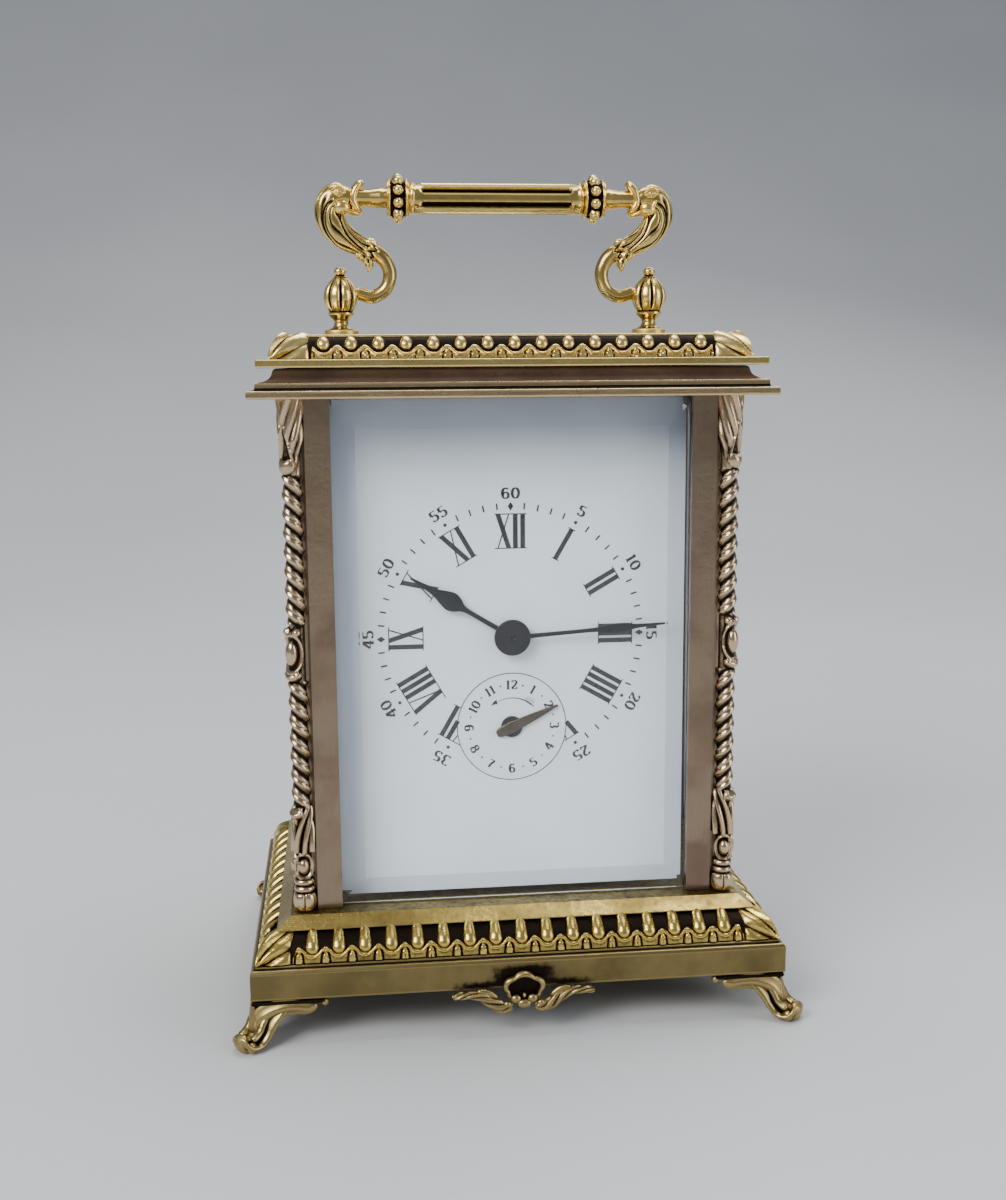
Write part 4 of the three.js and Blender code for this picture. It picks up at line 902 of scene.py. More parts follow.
def mount_shape():
    """The cast ornament on the front of the base: a scalloped shell between two leaf sprays, with a flat
    dark disc inside the shell as painted shade.
    """
    low, high = node_box("front_mount")
    face = high[1]
    thick = (high[1] - low[1]) / 2
    y = face - thick
    facing = (0, 1, 0)
    parts = []
    turn = np.linspace(-0.85, math.pi + 0.85, 90)
    lobe = np.abs(np.cos(2.5 * (turn - math.pi / 2)))
    radius = 3.15 + 0.5 * lobe
    ring_x, ring_z = 1.08 * radius * np.cos(turn), 10.5 + 0.8 * radius * np.sin(turn)
    parts.append(loft(at_depth(ring_x, y, ring_z), thick * 0.95, 0.42 + 0.25 * lobe, facing, 18, tip=True))
    # A flat disc just behind the shell's ring, dark all over: painted shade in the ring's opening.
    shadow = np.linspace(0, TAU, 40, endpoint=False)
    spokes = np.array([0.01, 1.0, 2.0, 3.0])[:, None]
    shade_disc_x, shade_disc_z = 1.08 * spokes * np.cos(shadow), 10.1 + 0.88 * spokes * np.sin(shadow)
    back = at_depth(shade_disc_x, face - 0.15, shade_disc_z)
    parts.append(grid(with_patina(back, 1.0), closed=True))
    for side in (-1, 1):
        parts.append(ball((side * 1.75, y, 8.1), (1.15, thick * 0.95, 0.95)))
        parts.append(ball((side * 3.5, y, 7.0), (0.9, thick * 0.9, 0.75)))
        spray = spaced(
            [
                [2.2, 6.4, 1.2], [4.6, 6.3, 1.4], [6.8, 7.6, 1.35], [9.0, 8.9, 1.0], [11.4, 9.4, 0.85],
                [13.4, 9.3, 0.8], [14.9, 9.0, 0.5],
            ],
            48,
        )
        path = at_depth(side * spray[:, 0], y, spray[:, 1])

        def veins(along, angle):
            wave = np.cos(4 * angle + 30 * along)
            return 0.2 * wave, np.clip(-0.8 * wave, 0, 1)

        parts.append(loft(path, thick * 0.85, spray[:, 2] * 0.85, facing, 24, veins, tip=True))
        leaf = spaced([[5.4, 8.4, 0.4], [7.6, 9.6, 0.7], [9.8, 10.1, 0.45]], 16)
        path = at_depth(side * leaf[:, 0], y + 0.2, leaf[:, 1])
        parts.append(loft(path, thick * 0.6, leaf[:, 2], facing, 14, tip=True))
    parts.append(ball((0, y - 0.1, 7.0), (1.5, thick * 0.8, 0.95)))
    parts.append(ball((0, y, 8.9), (0.45, thick * 0.8, 0.6)))
    points, faces = together(*parts)
    points[:, 1] = np.clip(points[:, 1], low[1], face)
    return points, faces


plinth_shape, border_shape = base()
piece("case_base", border_shape, GILT, "case", ["base_plinth"], hollow=0.16, passes=12)
piece("case_plinth", plinth_shape, PLINTH_BRASS, "case", sharp=50, hollow=5)
piece("case_lid", lid(), LID_GILT, "case", ["lid"], hollow=0.16, passes=12)
slab_shape, cove_shape = cornice()
piece("case_cornice", slab_shape, SLAB_BRASS, "case", ["cornice"], hollow=5)
piece("case_cove", cove_shape, COVE_BRASS, "case", hollow=5)
column, foot = column_shape(), foot_shape()
for corner_name, sx, sy in CORNERS:
    shape, node = at_corner(column, sx, sy), "column_" + corner_name
    piece("corner_" + corner_name, shape, COLUMN_BRASS, "case", [node], 70)
    shape, node = at_corner(foot, sx, sy), "foot_" + corner_name
    piece("bracket_" + corner_name, shape, FOOT_BRASS_PAINTED_SHADE, "case", [node], 50, hollow=0.07)
# The front ornament is made in the same darker brass, painted shade included.
piece("front_ornament", mount_shape(), FOOT_BRASS_PAINTED_SHADE, "case", ["front_mount"], 50, hollow=0.08)


# ---------------------------------------------------------------- handle

PIVOT_Z = joint_place("handle_fold")[2]
grip_low, grip_high = node_box("handle_grip")
GRIP_Z = (grip_low[2] + grip_high[2]) / 2
FINIAL_X = sum(node_box("finial_right"))[0] / 2
COLLAR_X = sum(node_box("grip_collar_right"))[0] / 2


def finial_shape(side):
    """A melon-shaped urn on a stepped foot, with the hole for the handle's pivot hidden by its stub."""
    base_z = node_box("finial_right")[0][2]
    lobe_low, lobe_high = base_z + 5.2, base_z + 12.7
    t = np.linspace(0, 1, 40)
    melon_radius = 3.68 * np.sin(math.pi * (0.17 + 0.77 * t)) ** 0.62
    melon = np.stack([lobe_low + (lobe_high - lobe_low) * t, melon_radius], 1)
    foot = rounded(
        [
            [base_z, 0.01], [base_z, 3.68], [base_z + 1.45, 3.68], [base_z + 1.6, 2.6],
            [base_z + 2.1, 1.8], [base_z + 2.9, 1.45], [base_z + 3.6, 1.6], [base_z + 4.35, 2.35],
            [base_z + 4.7, 2.8], [base_z + 5.15, 2.8],
        ],
        0.3,
        turned_about=True,
    )
    foot[:, 2] = np.where(foot[:, 0] < base_z + 1.7, 1.2, foot[:, 2] * 0.4)
    knob = rounded(
        [
            [lobe_high + 0.05, 1.5], [lobe_high + 0.4, 0.9], [lobe_high + 0.75, 1.3],
            [lobe_high + 1.5, 1.35], [lobe_high + 2.1, 0.7], [lobe_high + 2.25, 0.01],
        ],
        0.35,
        turned_about=True,
    )
    melon = with_zero(melon)
    profile = np.vstack([foot, melon, knob])

    def lobes(along, angle):
        inside = np.clip(np.minimum(along - lobe_low, lobe_high - along) / 1.6, 0, 1)
        groove = inside * (1 - np.abs(np.cos(4 * (angle + math.pi / 8)))) ** 3
        swell = 0.12 * inside * np.abs(np.cos(4 * (angle + math.pi / 8)))
        return swell - 0.75 * groove, np.clip(1.6 * groove - 0.15, -0.3, 1)

    return round_body((side * FINIAL_X, 0, 0), 2, profile, 96, lobes)


def arm_shape(side):
    """A dolphin: its head holds the grip, its body curls down to the pivot, a leaf hangs in the curl."""
    line = spaced(
        [
            [30.2, 153.0, 1.4, 1.4], [27.0, 152.3, 1.45, 1.45], [24.3, 153.9, 1.45, 1.45],
            [23.3, 157.0, 1.5, 1.5], [24.4, 160.0, 1.6, 1.6], [26.6, 161.7, 1.8, 1.75],
            [30.0, 163.2, 2.25, 2.05], [33.3, 165.2, 2.75, 2.1], [35.6, 168.0, 3.05, 2.1],
            [36.2, 171.0, 2.95, 2.1], [35.0, 173.0, 2.75, 2.1], [33.2, 173.3, 2.45, 2.0],
            [31.6, 172.9, 2.0, 1.8],
        ],
        260,
    )

    def fur(along, angle):
        body = ramp(along, 0.435, 0.02) * ramp(along, 0.83, -0.05)
        frill = 0.448 + 0.012 * np.sin(6 * angle)
        skirt = 0.6 * hump(along, frill, 0.011) - 0.35 * hump(along, frill - 0.028, 0.012)
        strand = np.abs(np.sin(6.5 * angle + 22 * along + 1.1 * np.sin(30 * along + 3 * angle)))
        long_groove = np.abs(np.sin(2 * angle + 12 * along))
        groove = body * np.maximum(0.8 * ramp(strand, 0.75, -0.75), ramp(long_groove, 0.3, -0.3))
        return skirt - 0.38 * groove, np.clip(1.1 * groove - 1.2 * skirt, -0.2, 1)

    path = at_depth(line[:, 0], 0, line[:, 1])
    parts = [loft(path, line[:, 3], line[:, 2], (0, 1, 0), 112, fur)]
    stub = [[29.3, 0.01], [29.3, 1.1], [33.0, 1.1], [33.0, 0.01]]
    parts.append(round_body((0, 0, PIVOT_Z), 0, stub, 20))

    def flat_run(points, count, y=0.0):
        """A smooth run of [x, z, ...] points as a path at one Y, and the columns that follow."""
        run = spaced(points, count)
        return at_depth(run[:, 0], y, run[:, 1]), run[:, 2:].T

    lips, (wide, thick) = flat_run(
        [
            [28.5, 176.4, 1.1, 0.75], [29.4, 175.9, 1.8, 0.95], [30.5, 174.5, 2.1, 1.0],
            [30.9, 172.5, 2.1, 1.05], [30.1, 170.8, 2.0, 0.95], [29.0, 169.7, 1.3, 0.6],
        ],
        36,
    )
    parts.append(loft(lips, wide, thick, (0, 1, 0), 26, tip=True))
    jaw, (wide, thick) = flat_run(
        [[32.6, 170.7, 1.7, 0.8], [30.9, 169.9, 1.5, 0.7], [29.3, 169.6, 0.7, 0.4]], 18
    )
    parts.append(loft(jaw, wide, thick, (0, 1, 0), 20, tip=True))
    crest, (thick,) = flat_run(
        [
            [33.0, 175.6, 0.4], [35.0, 176.0, 0.8], [37.0, 175.0, 0.9], [38.4, 173.2, 0.8],
            [39.3, 171.6, 0.35],
        ],
        30,
    )
    parts.append(loft(crest - [0.5, 0, 0.5], 0.8, thick, (0, 1, 0), 16, tip=True))
    tendril, (thick,) = flat_run(
        [
            [30.8, 161.6, 1.0], [29.3, 161.1, 1.2], [28.2, 160.2, 1.15], [27.7, 158.9, 0.95],
            [28.0, 157.5, 0.4],
        ],
        30,
    )

    def leaf_vein(along, angle):
        vein = hump(np.sin(angle), 0, 0.3) + 0.6 * np.clip(np.cos(3 * angle + 26 * along), 0, 1)
        return -0.22 * vein, np.clip(0.9 * vein - 0.2, 0, 1)

    parts.append(loft(tendril, 1.5, thick, (0, 1, 0), 36, leaf_vein, tip=True))
    cheeks = [ball((33.4, face * 1.25, 171.0), (1.9, 1.35, 1.7)) for face in (-1, 1)]
    parts += cheeks
    for face in (-1, 1):
        eye = np.array([33.9, face * 1.95, 174.1])
        socket = ball(eye - [0, face * 0.1, 0], (1.5, 0.55, 1.05))
        parts.append((with_patina(np.array(socket[0])[None, :, :3], 0.8)[0], socket[1]))
        parts.append(ball(eye + [0, face * 0.1, 0], (0.6, 0.5, 0.42)))
        for lid_z, bend in ((0.75, 0.55), (-0.7, -0.35)):
            brow, (thick,) = flat_run(
                [[32.3, 174.1, 0.2], [33.9, 174.2 + lid_z + bend * 0.4, 0.34], [35.7, 174.3, 0.2]],
                16,
                face * 2.15,
            )
            parts.append(loft(brow, 0.45, thick, (0, 1, 0), 10, tip=True))
        fin, (thick,) = flat_run(
            [[35.2, 172.9, 0.3], [34.2, 171.2, 0.55], [32.9, 169.8, 0.3]], 20, face * 1.95
        )
        parts.append(loft(fin, 0.5, thick, (0, 1, 0), 12, tip=True))
    made = together(*parts)
    return made if side > 0 else mirrored(made, 0)


def grip_shape():
    """A six-sided bar with a long round-ended slot in each face, and a neck at each end."""
    bar_end = COLLAR_X - 2.4
    neck, tip_x = 2.1, grip_high[0]
    x = np.linspace(-bar_end, bar_end, 200)
    bar = np.stack([x, np.full(200, 3.05)], 1)
    end = rounded(
        [
            [bar_end, 3.15], [bar_end + 0.1, neck], [COLLAR_X + 2.6, neck],
            [COLLAR_X + 3.6, neck + 0.1], [tip_x - 2.4, neck - 0.25], [tip_x + 0.9, neck - 0.35],
            [tip_x + 0.9, 0.01],
        ],
        0.3,
        turned_about=True,
    )
    start = end[::-1] * np.array([-1, 1, 1])
    bar = with_zero(bar)
    profile = np.vstack([start, bar, end])

    def facets(along, angle):
        face = (angle % (TAU / 6)) - TAU / 12
        inside = np.abs(along) < bar_end
        flat = 0.13 * (1 - np.abs(face) / (TAU / 12))
        run = np.maximum(np.abs(along) - (bar_end - 3.3), 0)
        from_slot = np.sqrt((face * 3.1 / 0.6) ** 2 + (run / 0.6) ** 2)
        slot = -0.85 * ramp(from_slot, 1.12, -0.24)
        lip = 0.12 * hump(from_slot, 1.35, 0.2)
        ring = 0.25 * hump(np.abs(along), bar_end - 0.7, 0.4)
        lift, patina = flat + slot + lip + ring, -0.85 * slot - 2.5 * lip
        return np.where(inside, lift, 0), np.where(inside, patina, 0)

    return round_body((0, 0, GRIP_Z), 0, profile, 128, facets)


def collar_shape(side):
    """A collar with a row of large beads between two rims."""
    half = 2.3
    x = np.concatenate([[-half, -half], np.linspace(-half, half, 48), [half, half]])
    radius = np.concatenate([[2.3, 3.2], np.full(48, 4.0), [3.2, 2.3]])
    profile = np.stack([x + side * COLLAR_X, radius], 1)
    beads = 10

    def relief(along, angle):
        dx = along - side * COLLAR_X
        turn = (angle % (TAU / beads)) - TAU / beads / 2
        bead = dome((dx / 1.25) ** 2 + (turn * 4.4 / 1.32) ** 2) * 1.75 - 0.5
        rim = 0.5 * hump(np.abs(dx), 1.85, 0.34) - 0.35
        lift = np.where(np.abs(dx) < half - 0.001, np.maximum(np.maximum(bead, rim), -0.5), 0)
        return lift, np.where(np.abs(dx) < 1.7, np.clip(0.4 - 2 * lift, -0.3, 1), 0)

    return round_body((0, 0, GRIP_Z), 0, profile, 120, relief)


for side_name, side in SIDES:
    shape, node = finial_shape(side), "finial_" + side_name
    piece("urn_" + side_name, shape, HANDLE_BRASS, "case", [node])
    shape, node = arm_shape(side), "handle_arm_" + side_name
    piece("dolphin_" + side_name, shape, HANDLE_BRASS, "handle", [node], 50)
    shape, node = collar_shape(side), "grip_collar_" + side_name
    piece("collar_" + side_name, shape, HANDLE_BRASS, "handle", [node])
piece("grip_bar", grip_shape(), HANDLE_BRASS, "handle", ["handle_grip"], 30)


# ---------------------------------------------------------------- dial

dial_low, dial_high = node_box("dial")
DIAL_FACE = dial_low[1]
INK_RISE = 0.03
CENTRE = np.array([0.0, joint_place("minute_hand_turn")[2]])
ALARM = np.array([0.0, joint_place("alarm_hand_turn")[2]])
# Radii round the dial's centre: the minute track, its dots and figures, and the numerals.
TRACK_IN, TRACK_OUT, DOT_RING, FIGURE_RING = 26.9, 28.3, 27.5, 30.25
ROMAN_IN, ROMAN_OUT = 18.7, 25.9
# Radii round the alarm dial's centre: its edge, its figures and its arrow.
ALARM_RING, ALARM_FIGURE_RING, ARROW_RING = 11.7, 9.2, 6.3


class Ink:
    """Flat black figures on the dial, laid as strips in its plane: X to the right and Z up."""

    def __init__(self):
        self.parts = []

    def add(self, points, faces):
        self.parts.append((at_depth(points[:, 0], DIAL_FACE - INK_RISE, points[:, 1]), faces))

    def strip(self, left, right):
        count = len(left)
        faces = [[count + i, count + i + 1, i + 1, i] for i in range(count - 1)]
        self.add(np.concatenate([left, right]), faces)

    def line(self, points, width):
        points = np.asarray(points, float)
        slope = np.gradient(points, axis=0)
        slope /= np.maximum(np.linalg.norm(slope, axis=1)[:, None], 1e-9)
        side = np.stack([-slope[:, 1], slope[:, 0]], 1)
        half = np.broadcast_to(np.asarray(width, float), (len(points),))[:, None] / 2
        self.strip(points + side * half, points - side * half)

    def ring(self, centre, radius, width, steps=128):
        turn = np.linspace(0, TAU, steps + 1)
        round_way = np.stack([np.sin(turn), np.cos(turn)], 1)
        self.strip(centre + round_way * (radius + width / 2), centre + round_way * (radius - width / 2))

    def dot(self, centre, radius, corners=16, stretch=1.0, turn=0.0):
        a = np.arange(corners) * TAU / corners
        local = np.stack([radius * np.sin(a), radius * stretch * np.cos(a)], 1)
        self.add(turned(local, turn) + centre, [list(range(corners))[::-1]])


def turned(points, degrees):
    """Points turned clockwise."""
    a = math.radians(degrees)
    c, s = math.cos(a), math.sin(a)
    points = np.asarray(points, float)
    return np.stack([points[:, 0] * c + points[:, 1] * s, -points[:, 0] * s + points[:, 1] * c], 1)


def polar(centre, radius, degrees):
    """The point at a clock angle."""
    a = math.radians(degrees)
    return centre + radius * np.array([math.sin(a), math.cos(a)])


def arc(x, z, rx, rz, start, end, steps=14):
    """Points on an oval. Angles are degrees anticlockwise from +X."""
    t = np.radians(np.linspace(start, end, steps))
    return np.stack([x + rx * np.cos(t), z + rz * np.sin(t)], 1)


def joined(*runs):
    """Several runs of points as one."""
    return np.concatenate([np.asarray(r, float) for r in runs])


# Each figure's centre lines in a box one unit high, and its width. Upright strokes are drawn thick.
FIGURES = {
    "0": (0.52, [arc(0.26, 0.5, 0.2, 0.46, 90, 450, 26)]),
    "1": (0.34, [[[0.17, 0.98], [0.17, 0.5], [0.17, 0.02]], [[0.05, 0.8], [0.12, 0.85], [0.17, 0.96]],
                 [[0.04, 0.02], [0.17, 0.02], [0.3, 0.02]]]),
    "2": (0.5, [joined(arc(0.25, 0.74, 0.18, 0.22, 170, -20, 12),
                       [[0.3, 0.42], [0.14, 0.2], [0.06, 0.04]]),
                [[0.05, 0.05], [0.25, 0.06], [0.44, 0.03], [0.46, 0.2]]]),
    "3": (0.5, [arc(0.22, 0.75, 0.18, 0.21, 150, -70, 12), arc(0.23, 0.27, 0.2, 0.25, 80, -150, 14)]),
    "4": (0.54, [[[0.36, 0.98], [0.2, 0.65], [0.04, 0.3]], [[0.03, 0.29], [0.28, 0.29], [0.52, 0.29]],
                 [[0.38, 0.98], [0.38, 0.5], [0.38, 0.02]], [[0.26, 0.02], [0.38, 0.02], [0.5, 0.02]]]),
    "5": (0.5, [[[0.42, 0.94], [0.26, 0.94], [0.1, 0.94]], [[0.1, 0.95], [0.09, 0.75], [0.09, 0.55]],
                arc(0.23, 0.3, 0.2, 0.27, 130, -150, 16)]),
    "6": (0.52, [arc(0.27, 0.5, 0.21, 0.46, 50, 200, 14), arc(0.26, 0.3, 0.18, 0.27, 0, 360, 20)]),
    "7": (0.5, [[[0.06, 0.92], [0.26, 0.94], [0.46, 0.95]], [[0.46, 0.94], [0.3, 0.55], [0.22, 0.02]]]),
    "8": (0.5, [arc(0.25, 0.75, 0.16, 0.2, 0, 360, 20), arc(0.25, 0.27, 0.2, 0.25, 0, 360, 20)]),
    "9": (0.52, [arc(0.25, 0.5, 0.21, 0.46, -130, 20, 14), arc(0.26, 0.7, 0.18, 0.27, 0, 360, 20)]),
}
FIGURE_THIN, FIGURE_THICK = 0.1, 0.26


def number(ink, text, centre, height, degrees, wide=1.35):
    """A number whose middle is at a point, turned clockwise. wide stretches its figures sideways."""
    gap = 0.08
    total = sum(FIGURES[c][0] for c in text) + gap * (len(text) - 1)
    x = -total / 2
    for character in text:
        width, runs = FIGURES[character]
        for run in runs:
            run = np.asarray(run, float)
            slope = np.gradient(run, axis=0)
            upright = np.abs(slope[:, 1]) / np.maximum(np.linalg.norm(slope, axis=1), 1e-9)
            thick = (FIGURE_THIN + (FIGURE_THICK - FIGURE_THIN) * upright**1.5) * height
            ink.line(turned((run + [x, -0.5]) * [wide * height, height], degrees) + centre, thick)
        x += width + gap


ROMAN_GAP, ROMAN_THICK, ROMAN_THIN = 1.55, 1.02, 0.28


def roman(ink, text, degrees, inner, outer):
    """A Roman numeral on the hour ring, with its head outwards."""
    widths = {"I": ROMAN_GAP, "V": 3.5, "X": 3.5}
    total = sum(widths[c] for c in text)
    x = -total / 2

    def stroke(x0, z0, x1, z1, width):
        share = np.linspace(0, 1, 40)[:, None]
        run = turned(np.array([x0, z0]) * (1 - share) + np.array([x1, z1]) * share, degrees) + CENTRE
        run = run[np.linalg.norm(run - ALARM, axis=1) > ALARM_RING]
        if len(run) > 2:
            ink.line(run, width)

    for character in text:
        middle = x + widths[character] / 2
        if character == "I":
            stroke(middle, inner, middle, outer, ROMAN_THICK)
        elif character == "V":
            stroke(middle - 1.2, outer, middle, inner, ROMAN_THICK)
            stroke(middle + 1.25, outer, middle + 0.15, inner, ROMAN_THIN)
        else:
            stroke(middle - 1.15, outer, middle + 1.15, inner, ROMAN_THICK)
            stroke(middle + 1.15, outer, middle - 1.15, inner, ROMAN_THIN)
        x += widths[character]
    for z in (inner, outer):
        stroke(-total / 2 - 0.1, z, total / 2 + 0.1, z, ROMAN_THIN * 0.8)


def dial_markings():
    """The chapter ring, minute track and alarm ring."""
    ink = Ink()
    for minute in range(60):
        angle = minute * 6
        if np.linalg.norm(polar(CENTRE, TRACK_IN, angle) - ALARM) < ALARM_RING + 0.5:
            continue
        if minute in (0, 15, 45):
            ink.dot(polar(CENTRE, DOT_RING, angle), 0.62, 4, 1.5, angle)
        elif minute % 5 == 0:
            ink.dot(polar(CENTRE, DOT_RING, angle), 0.38)
        else:
            ink.line(turned([[0, TRACK_IN], [0, 27.6], [0, TRACK_OUT]], angle) + CENTRE, 0.36)
    for minute in range(5, 65, 5):
        angle = minute * 6
        if minute != 30:
            number(ink, str(minute), polar(CENTRE, FIGURE_RING, angle), 2.3, angle, 1.5)
    names = ("XII", "I", "II", "III", "IIII", "V", None, "VII", "VIII", "IX", "X", "XI")
    for hour, name in enumerate(names):
        if name:
            roman(ink, name, hour * 30, ROMAN_IN, ROMAN_OUT)
    ink.ring(ALARM, ALARM_RING, 0.2)
    for hour in range(1, 13):
        angle = hour * 30
        upside_down = 4 <= hour <= 8
        place = polar(ALARM, ALARM_FIGURE_RING, angle)
        number(ink, str(hour), place, 1.95, angle + (180 if upside_down else 0))
        ink.dot(polar(ALARM, ALARM_FIGURE_RING, angle + 15), 0.2)
    sweep = np.array([polar(ALARM, ARROW_RING, a) for a in np.linspace(42, -30, 26)])
    ink.line(sweep, np.linspace(0.3, 0.12, 26))
    head = polar(ALARM, ARROW_RING, -30)
    ink.line([head, head + [-0.5, -0.1], head + [-1.3, -0.75]], [1.1, 0.7, 0.05])
    for k in range(5):
        root = polar(ALARM, ARROW_RING, 40 - 4.0 * k)
        ink.line([root, root + [0.55, 0.25], root + [1.0, 0.7]], 0.12)
        ink.line([root, root + [0.5, -0.3], root + [0.9, -0.8]], 0.12)
    return together(*ink.parts)


piece("dial_markings", dial_markings(), INK_AND_SLOT_SHADE, "case", hollow=0)


# ---------------------------------------------------------------- hands

def hand_shape(profile, boss, centre, degrees, front, thick, boss_thick=0.0):
    """A flat hand with softened edges and a round boss at its root.

    profile holds [distance, half width] points, which a smooth outline goes through.
    """
    run = spaced(profile, 90)
    length, half = run[:, 0], np.maximum(run[:, 1], 0.05)
    inset = np.minimum(0.12, half * 0.4)
    top = half - inset
    section = ((-half, thick), (-half, 0.1), (-top, 0.0), (top, 0.0), (half, 0.1), (half, thick))
    rows = [at_depth(x, y, length) for x, y in section]
    blade = grid(np.stack(rows, 1), closed=True, caps=True)
    rim = -boss_thick
    edge = rounded([[thick, 0.01], [thick, boss], [rim + 0.12, boss], [rim, boss - 0.25], [rim, 0.01]], 0.1)
    hub = round_body((0, 0, 0), 1, edge[::-1], 48)
    points, faces = together(blade, hub)
    flat = turned(points[:, [0, 2]], degrees)
    return np.stack([flat[:, 0] + centre[0], points[:, 1] + front, flat[:, 1] + centre[1]], 1), faces


HAND_ANGLE = {"hour": 301.6, "minute": 86.2, "alarm": 65.6}
hour_front = node_box("hour_hand")[0][1]
minute_front = node_box("minute_hand")[0][1]
alarm_low, alarm_high = node_box("alarm_hand")
hour = hand_shape(
    [[2.0, 0.55], [7, 0.5], [11.6, 0.6], [13.4, 1.55], [15.0, 2.0], [16.8, 1.55], [18.8, 0.85],
     [21.5, 0.5], [24.9, 0.2]],
    3.5, CENTRE, HAND_ANGLE["hour"], hour_front, 0.4, 0.15,
)
piece("hour_pointer", hour, BLUED, "hour_work", ["hour_hand"], 35, hollow=0)
minute = hand_shape(
    [[2.0, 0.5], [10, 0.42], [17.6, 0.45], [20.2, 0.85], [22.6, 0.95], [25.0, 0.8], [26.8, 0.45],
     [32.8, 0.2]],
    3.85, CENTRE, HAND_ANGLE["minute"], minute_front, 0.4, 0.2,
)
nut = round_body(
    (0, 0, CENTRE[1]), 1,
    rounded([[-25.4, 0.01], [-25.4, 0.9], [-25.2, 1.1], [-24.9, 1.15], [-24.9, 0.01]], 0.15)[::-1], 32,
)
minute = together(minute, nut)
piece("minute_pointer", minute, BLUED, "centre_arbor", ["minute_hand"], 35, hollow=0)


def alarm_setter():
    """The alarm hand on its long arbor, which ends in a square behind the movement."""
    pointer = hand_shape(
        [[-3.6, 0.55], [-2.8, 1.0], [-1.0, 1.15], [1.5, 1.1], [6, 0.75], [10.9, 0.18]],
        1.3, ALARM, HAND_ANGLE["alarm"], alarm_low[1] + 0.2, 0.4,
    )
    front, back = alarm_low[1], alarm_high[1]
    shaft = [[front, 0.01], [front, 0.8], [back - 5.2, 0.9], [back - 5.1, 0.01]]
    rod = round_body((0, 0, ALARM[1]), 1, shaft, 24)
    end = [[back - 5.5, 0.01], [back - 5.5, 1.2], [back - 0.2, 1.2], [back, 1.0], [back, 0.01]]
    square = round_body((0, 0, ALARM[1]), 1, end, 4)
    return together(pointer, rod, square)


setter = alarm_setter()
piece("alarm_pointer", setter, BRONZED, "alarm_setting", ["alarm_hand"], 35, hollow=0)
rim = DIAL_FACE - 0.02
eyelet = rounded([[rim, 1.2], [DIAL_FACE - 0.45, 1.25], [DIAL_FACE - 0.5, 2.2], [rim, 2.35]], 0.12)
collet = round_body((0, 0, ALARM[1]), 1, eyelet[::-1], 48)
piece("alarm_collet", collet, BLUED, "case", hollow=0)


# ---------------------------------------------------------------- movement trim

def screw_shape(at, axis, radius):
    """A screw's flat round head, and a thin strip across its top that stands for the slot and is painted
    black as shade; the head faces back for axis 1 or up for axis 2.
    """
    high = 0.7
    side = [[0, 0.01], [0, radius], [high - 0.1, radius], [high, radius - 0.15], [high, 0.01]]
    profile = rounded(side, 0.08, turned_about=True) + [at[axis], 0, 0]
    centre = np.array(at, float)
    centre[axis] = 0
    slot_shade_half = 0.14
    head = round_body(centre, axis, profile, 32)
    line = np.array(at, float)
    line[axis] += high - 0.02
    reach = np.zeros(3)
    reach[0] = radius * 0.95
    tops = np.stack([line - reach, line, line + reach])
    across = np.zeros(3)
    across[3 - axis] = 1
    return head, loft(tops, slot_shade_half, 0.05, across, 8)


plate_low, plate_high = node_box("back_plate")
platform_low, platform_high = node_box("platform")
cock_low, cock_high = node_box("balance_cock")
heads, slot_shades = [], []
inset = 5.0
# Screws stand this far off the plate, so that no two faces share a plane.
STAND_OFF = 0.02
spots = [
    ((x, plate_high[1] + STAND_OFF, z), 1, 1.9)
    for x in (plate_low[0] + inset, plate_high[0] - inset)
    for z in (plate_low[2] + 9, plate_high[2] - inset)
]
spots += [
    ((x, y, platform_high[2] + STAND_OFF), 2, 1.15)
    for x in (platform_low[0] + 1.8, platform_high[0] - 1.8)
    for y in (platform_low[1] + 1.8, platform_high[1] - 1.8)
]
cock_x = (cock_low[0] + cock_high[0]) / 2
spots.append(((cock_x, cock_high[1] - 1.5, cock_high[2] + STAND_OFF), 2, 1.1))
for spot in spots:
    head, groove = screw_shape(*spot)
    heads.append(head)
    slot_shades.append(groove)
piece("plate_screws", together(*heads), BLUED, "case", hollow=0)
# No slot is cut in the heads: black strips on them are painted shade.
piece("screw_slot_shades", together(*slot_shades), INK_AND_SLOT_SHADE, "case", hollow=0)

jewel_at = joint_place("balance_swing") * [1, 1, 0]
jewel_z = cock_high[2]
setting = rounded([[jewel_z, 0.75], [jewel_z + 0.3, 0.85], [jewel_z + 0.35, 1.5], [jewel_z, 1.6]], 0.1)
setting = round_body(jewel_at, 2, setting, 32)
piece("jewel_setting", setting, WHEEL_BRASS, "case", hollow=0)
stone_z = jewel_z + 0.02
jewel = rounded([[stone_z, 0.01], [stone_z, 0.8], [jewel_z + 0.25, 0.7], [jewel_z + 0.3, 0.01]], 0.1)
piece("end_stone", round_body(jewel_at, 2, jewel, 24), RUBY, "case", hollow=0)


# ---------------------------------------------------------------- CAD nodes that stay

def dress(names, material, bevel=0.0, smooth=30, sharpest=30):
    """Gives CAD nodes a material, and rounds their edges a little."""
    for name in names:
        o = frame["nodes"][name]
        o.data.materials.clear()
        o.data.materials.append(material)
        if bevel:
            edges = o.modifiers.new("edges", "BEVEL")
            edges.width = bevel * MM
            edges.segments = 2
            edges.limit_method = "ANGLE"
            edges.angle_limit = math.radians(sharpest)
            edges.harden_normals = False
        o.data.shade_smooth()
        o.data.set_sharp_from_angle(angle=math.radians(smooth))


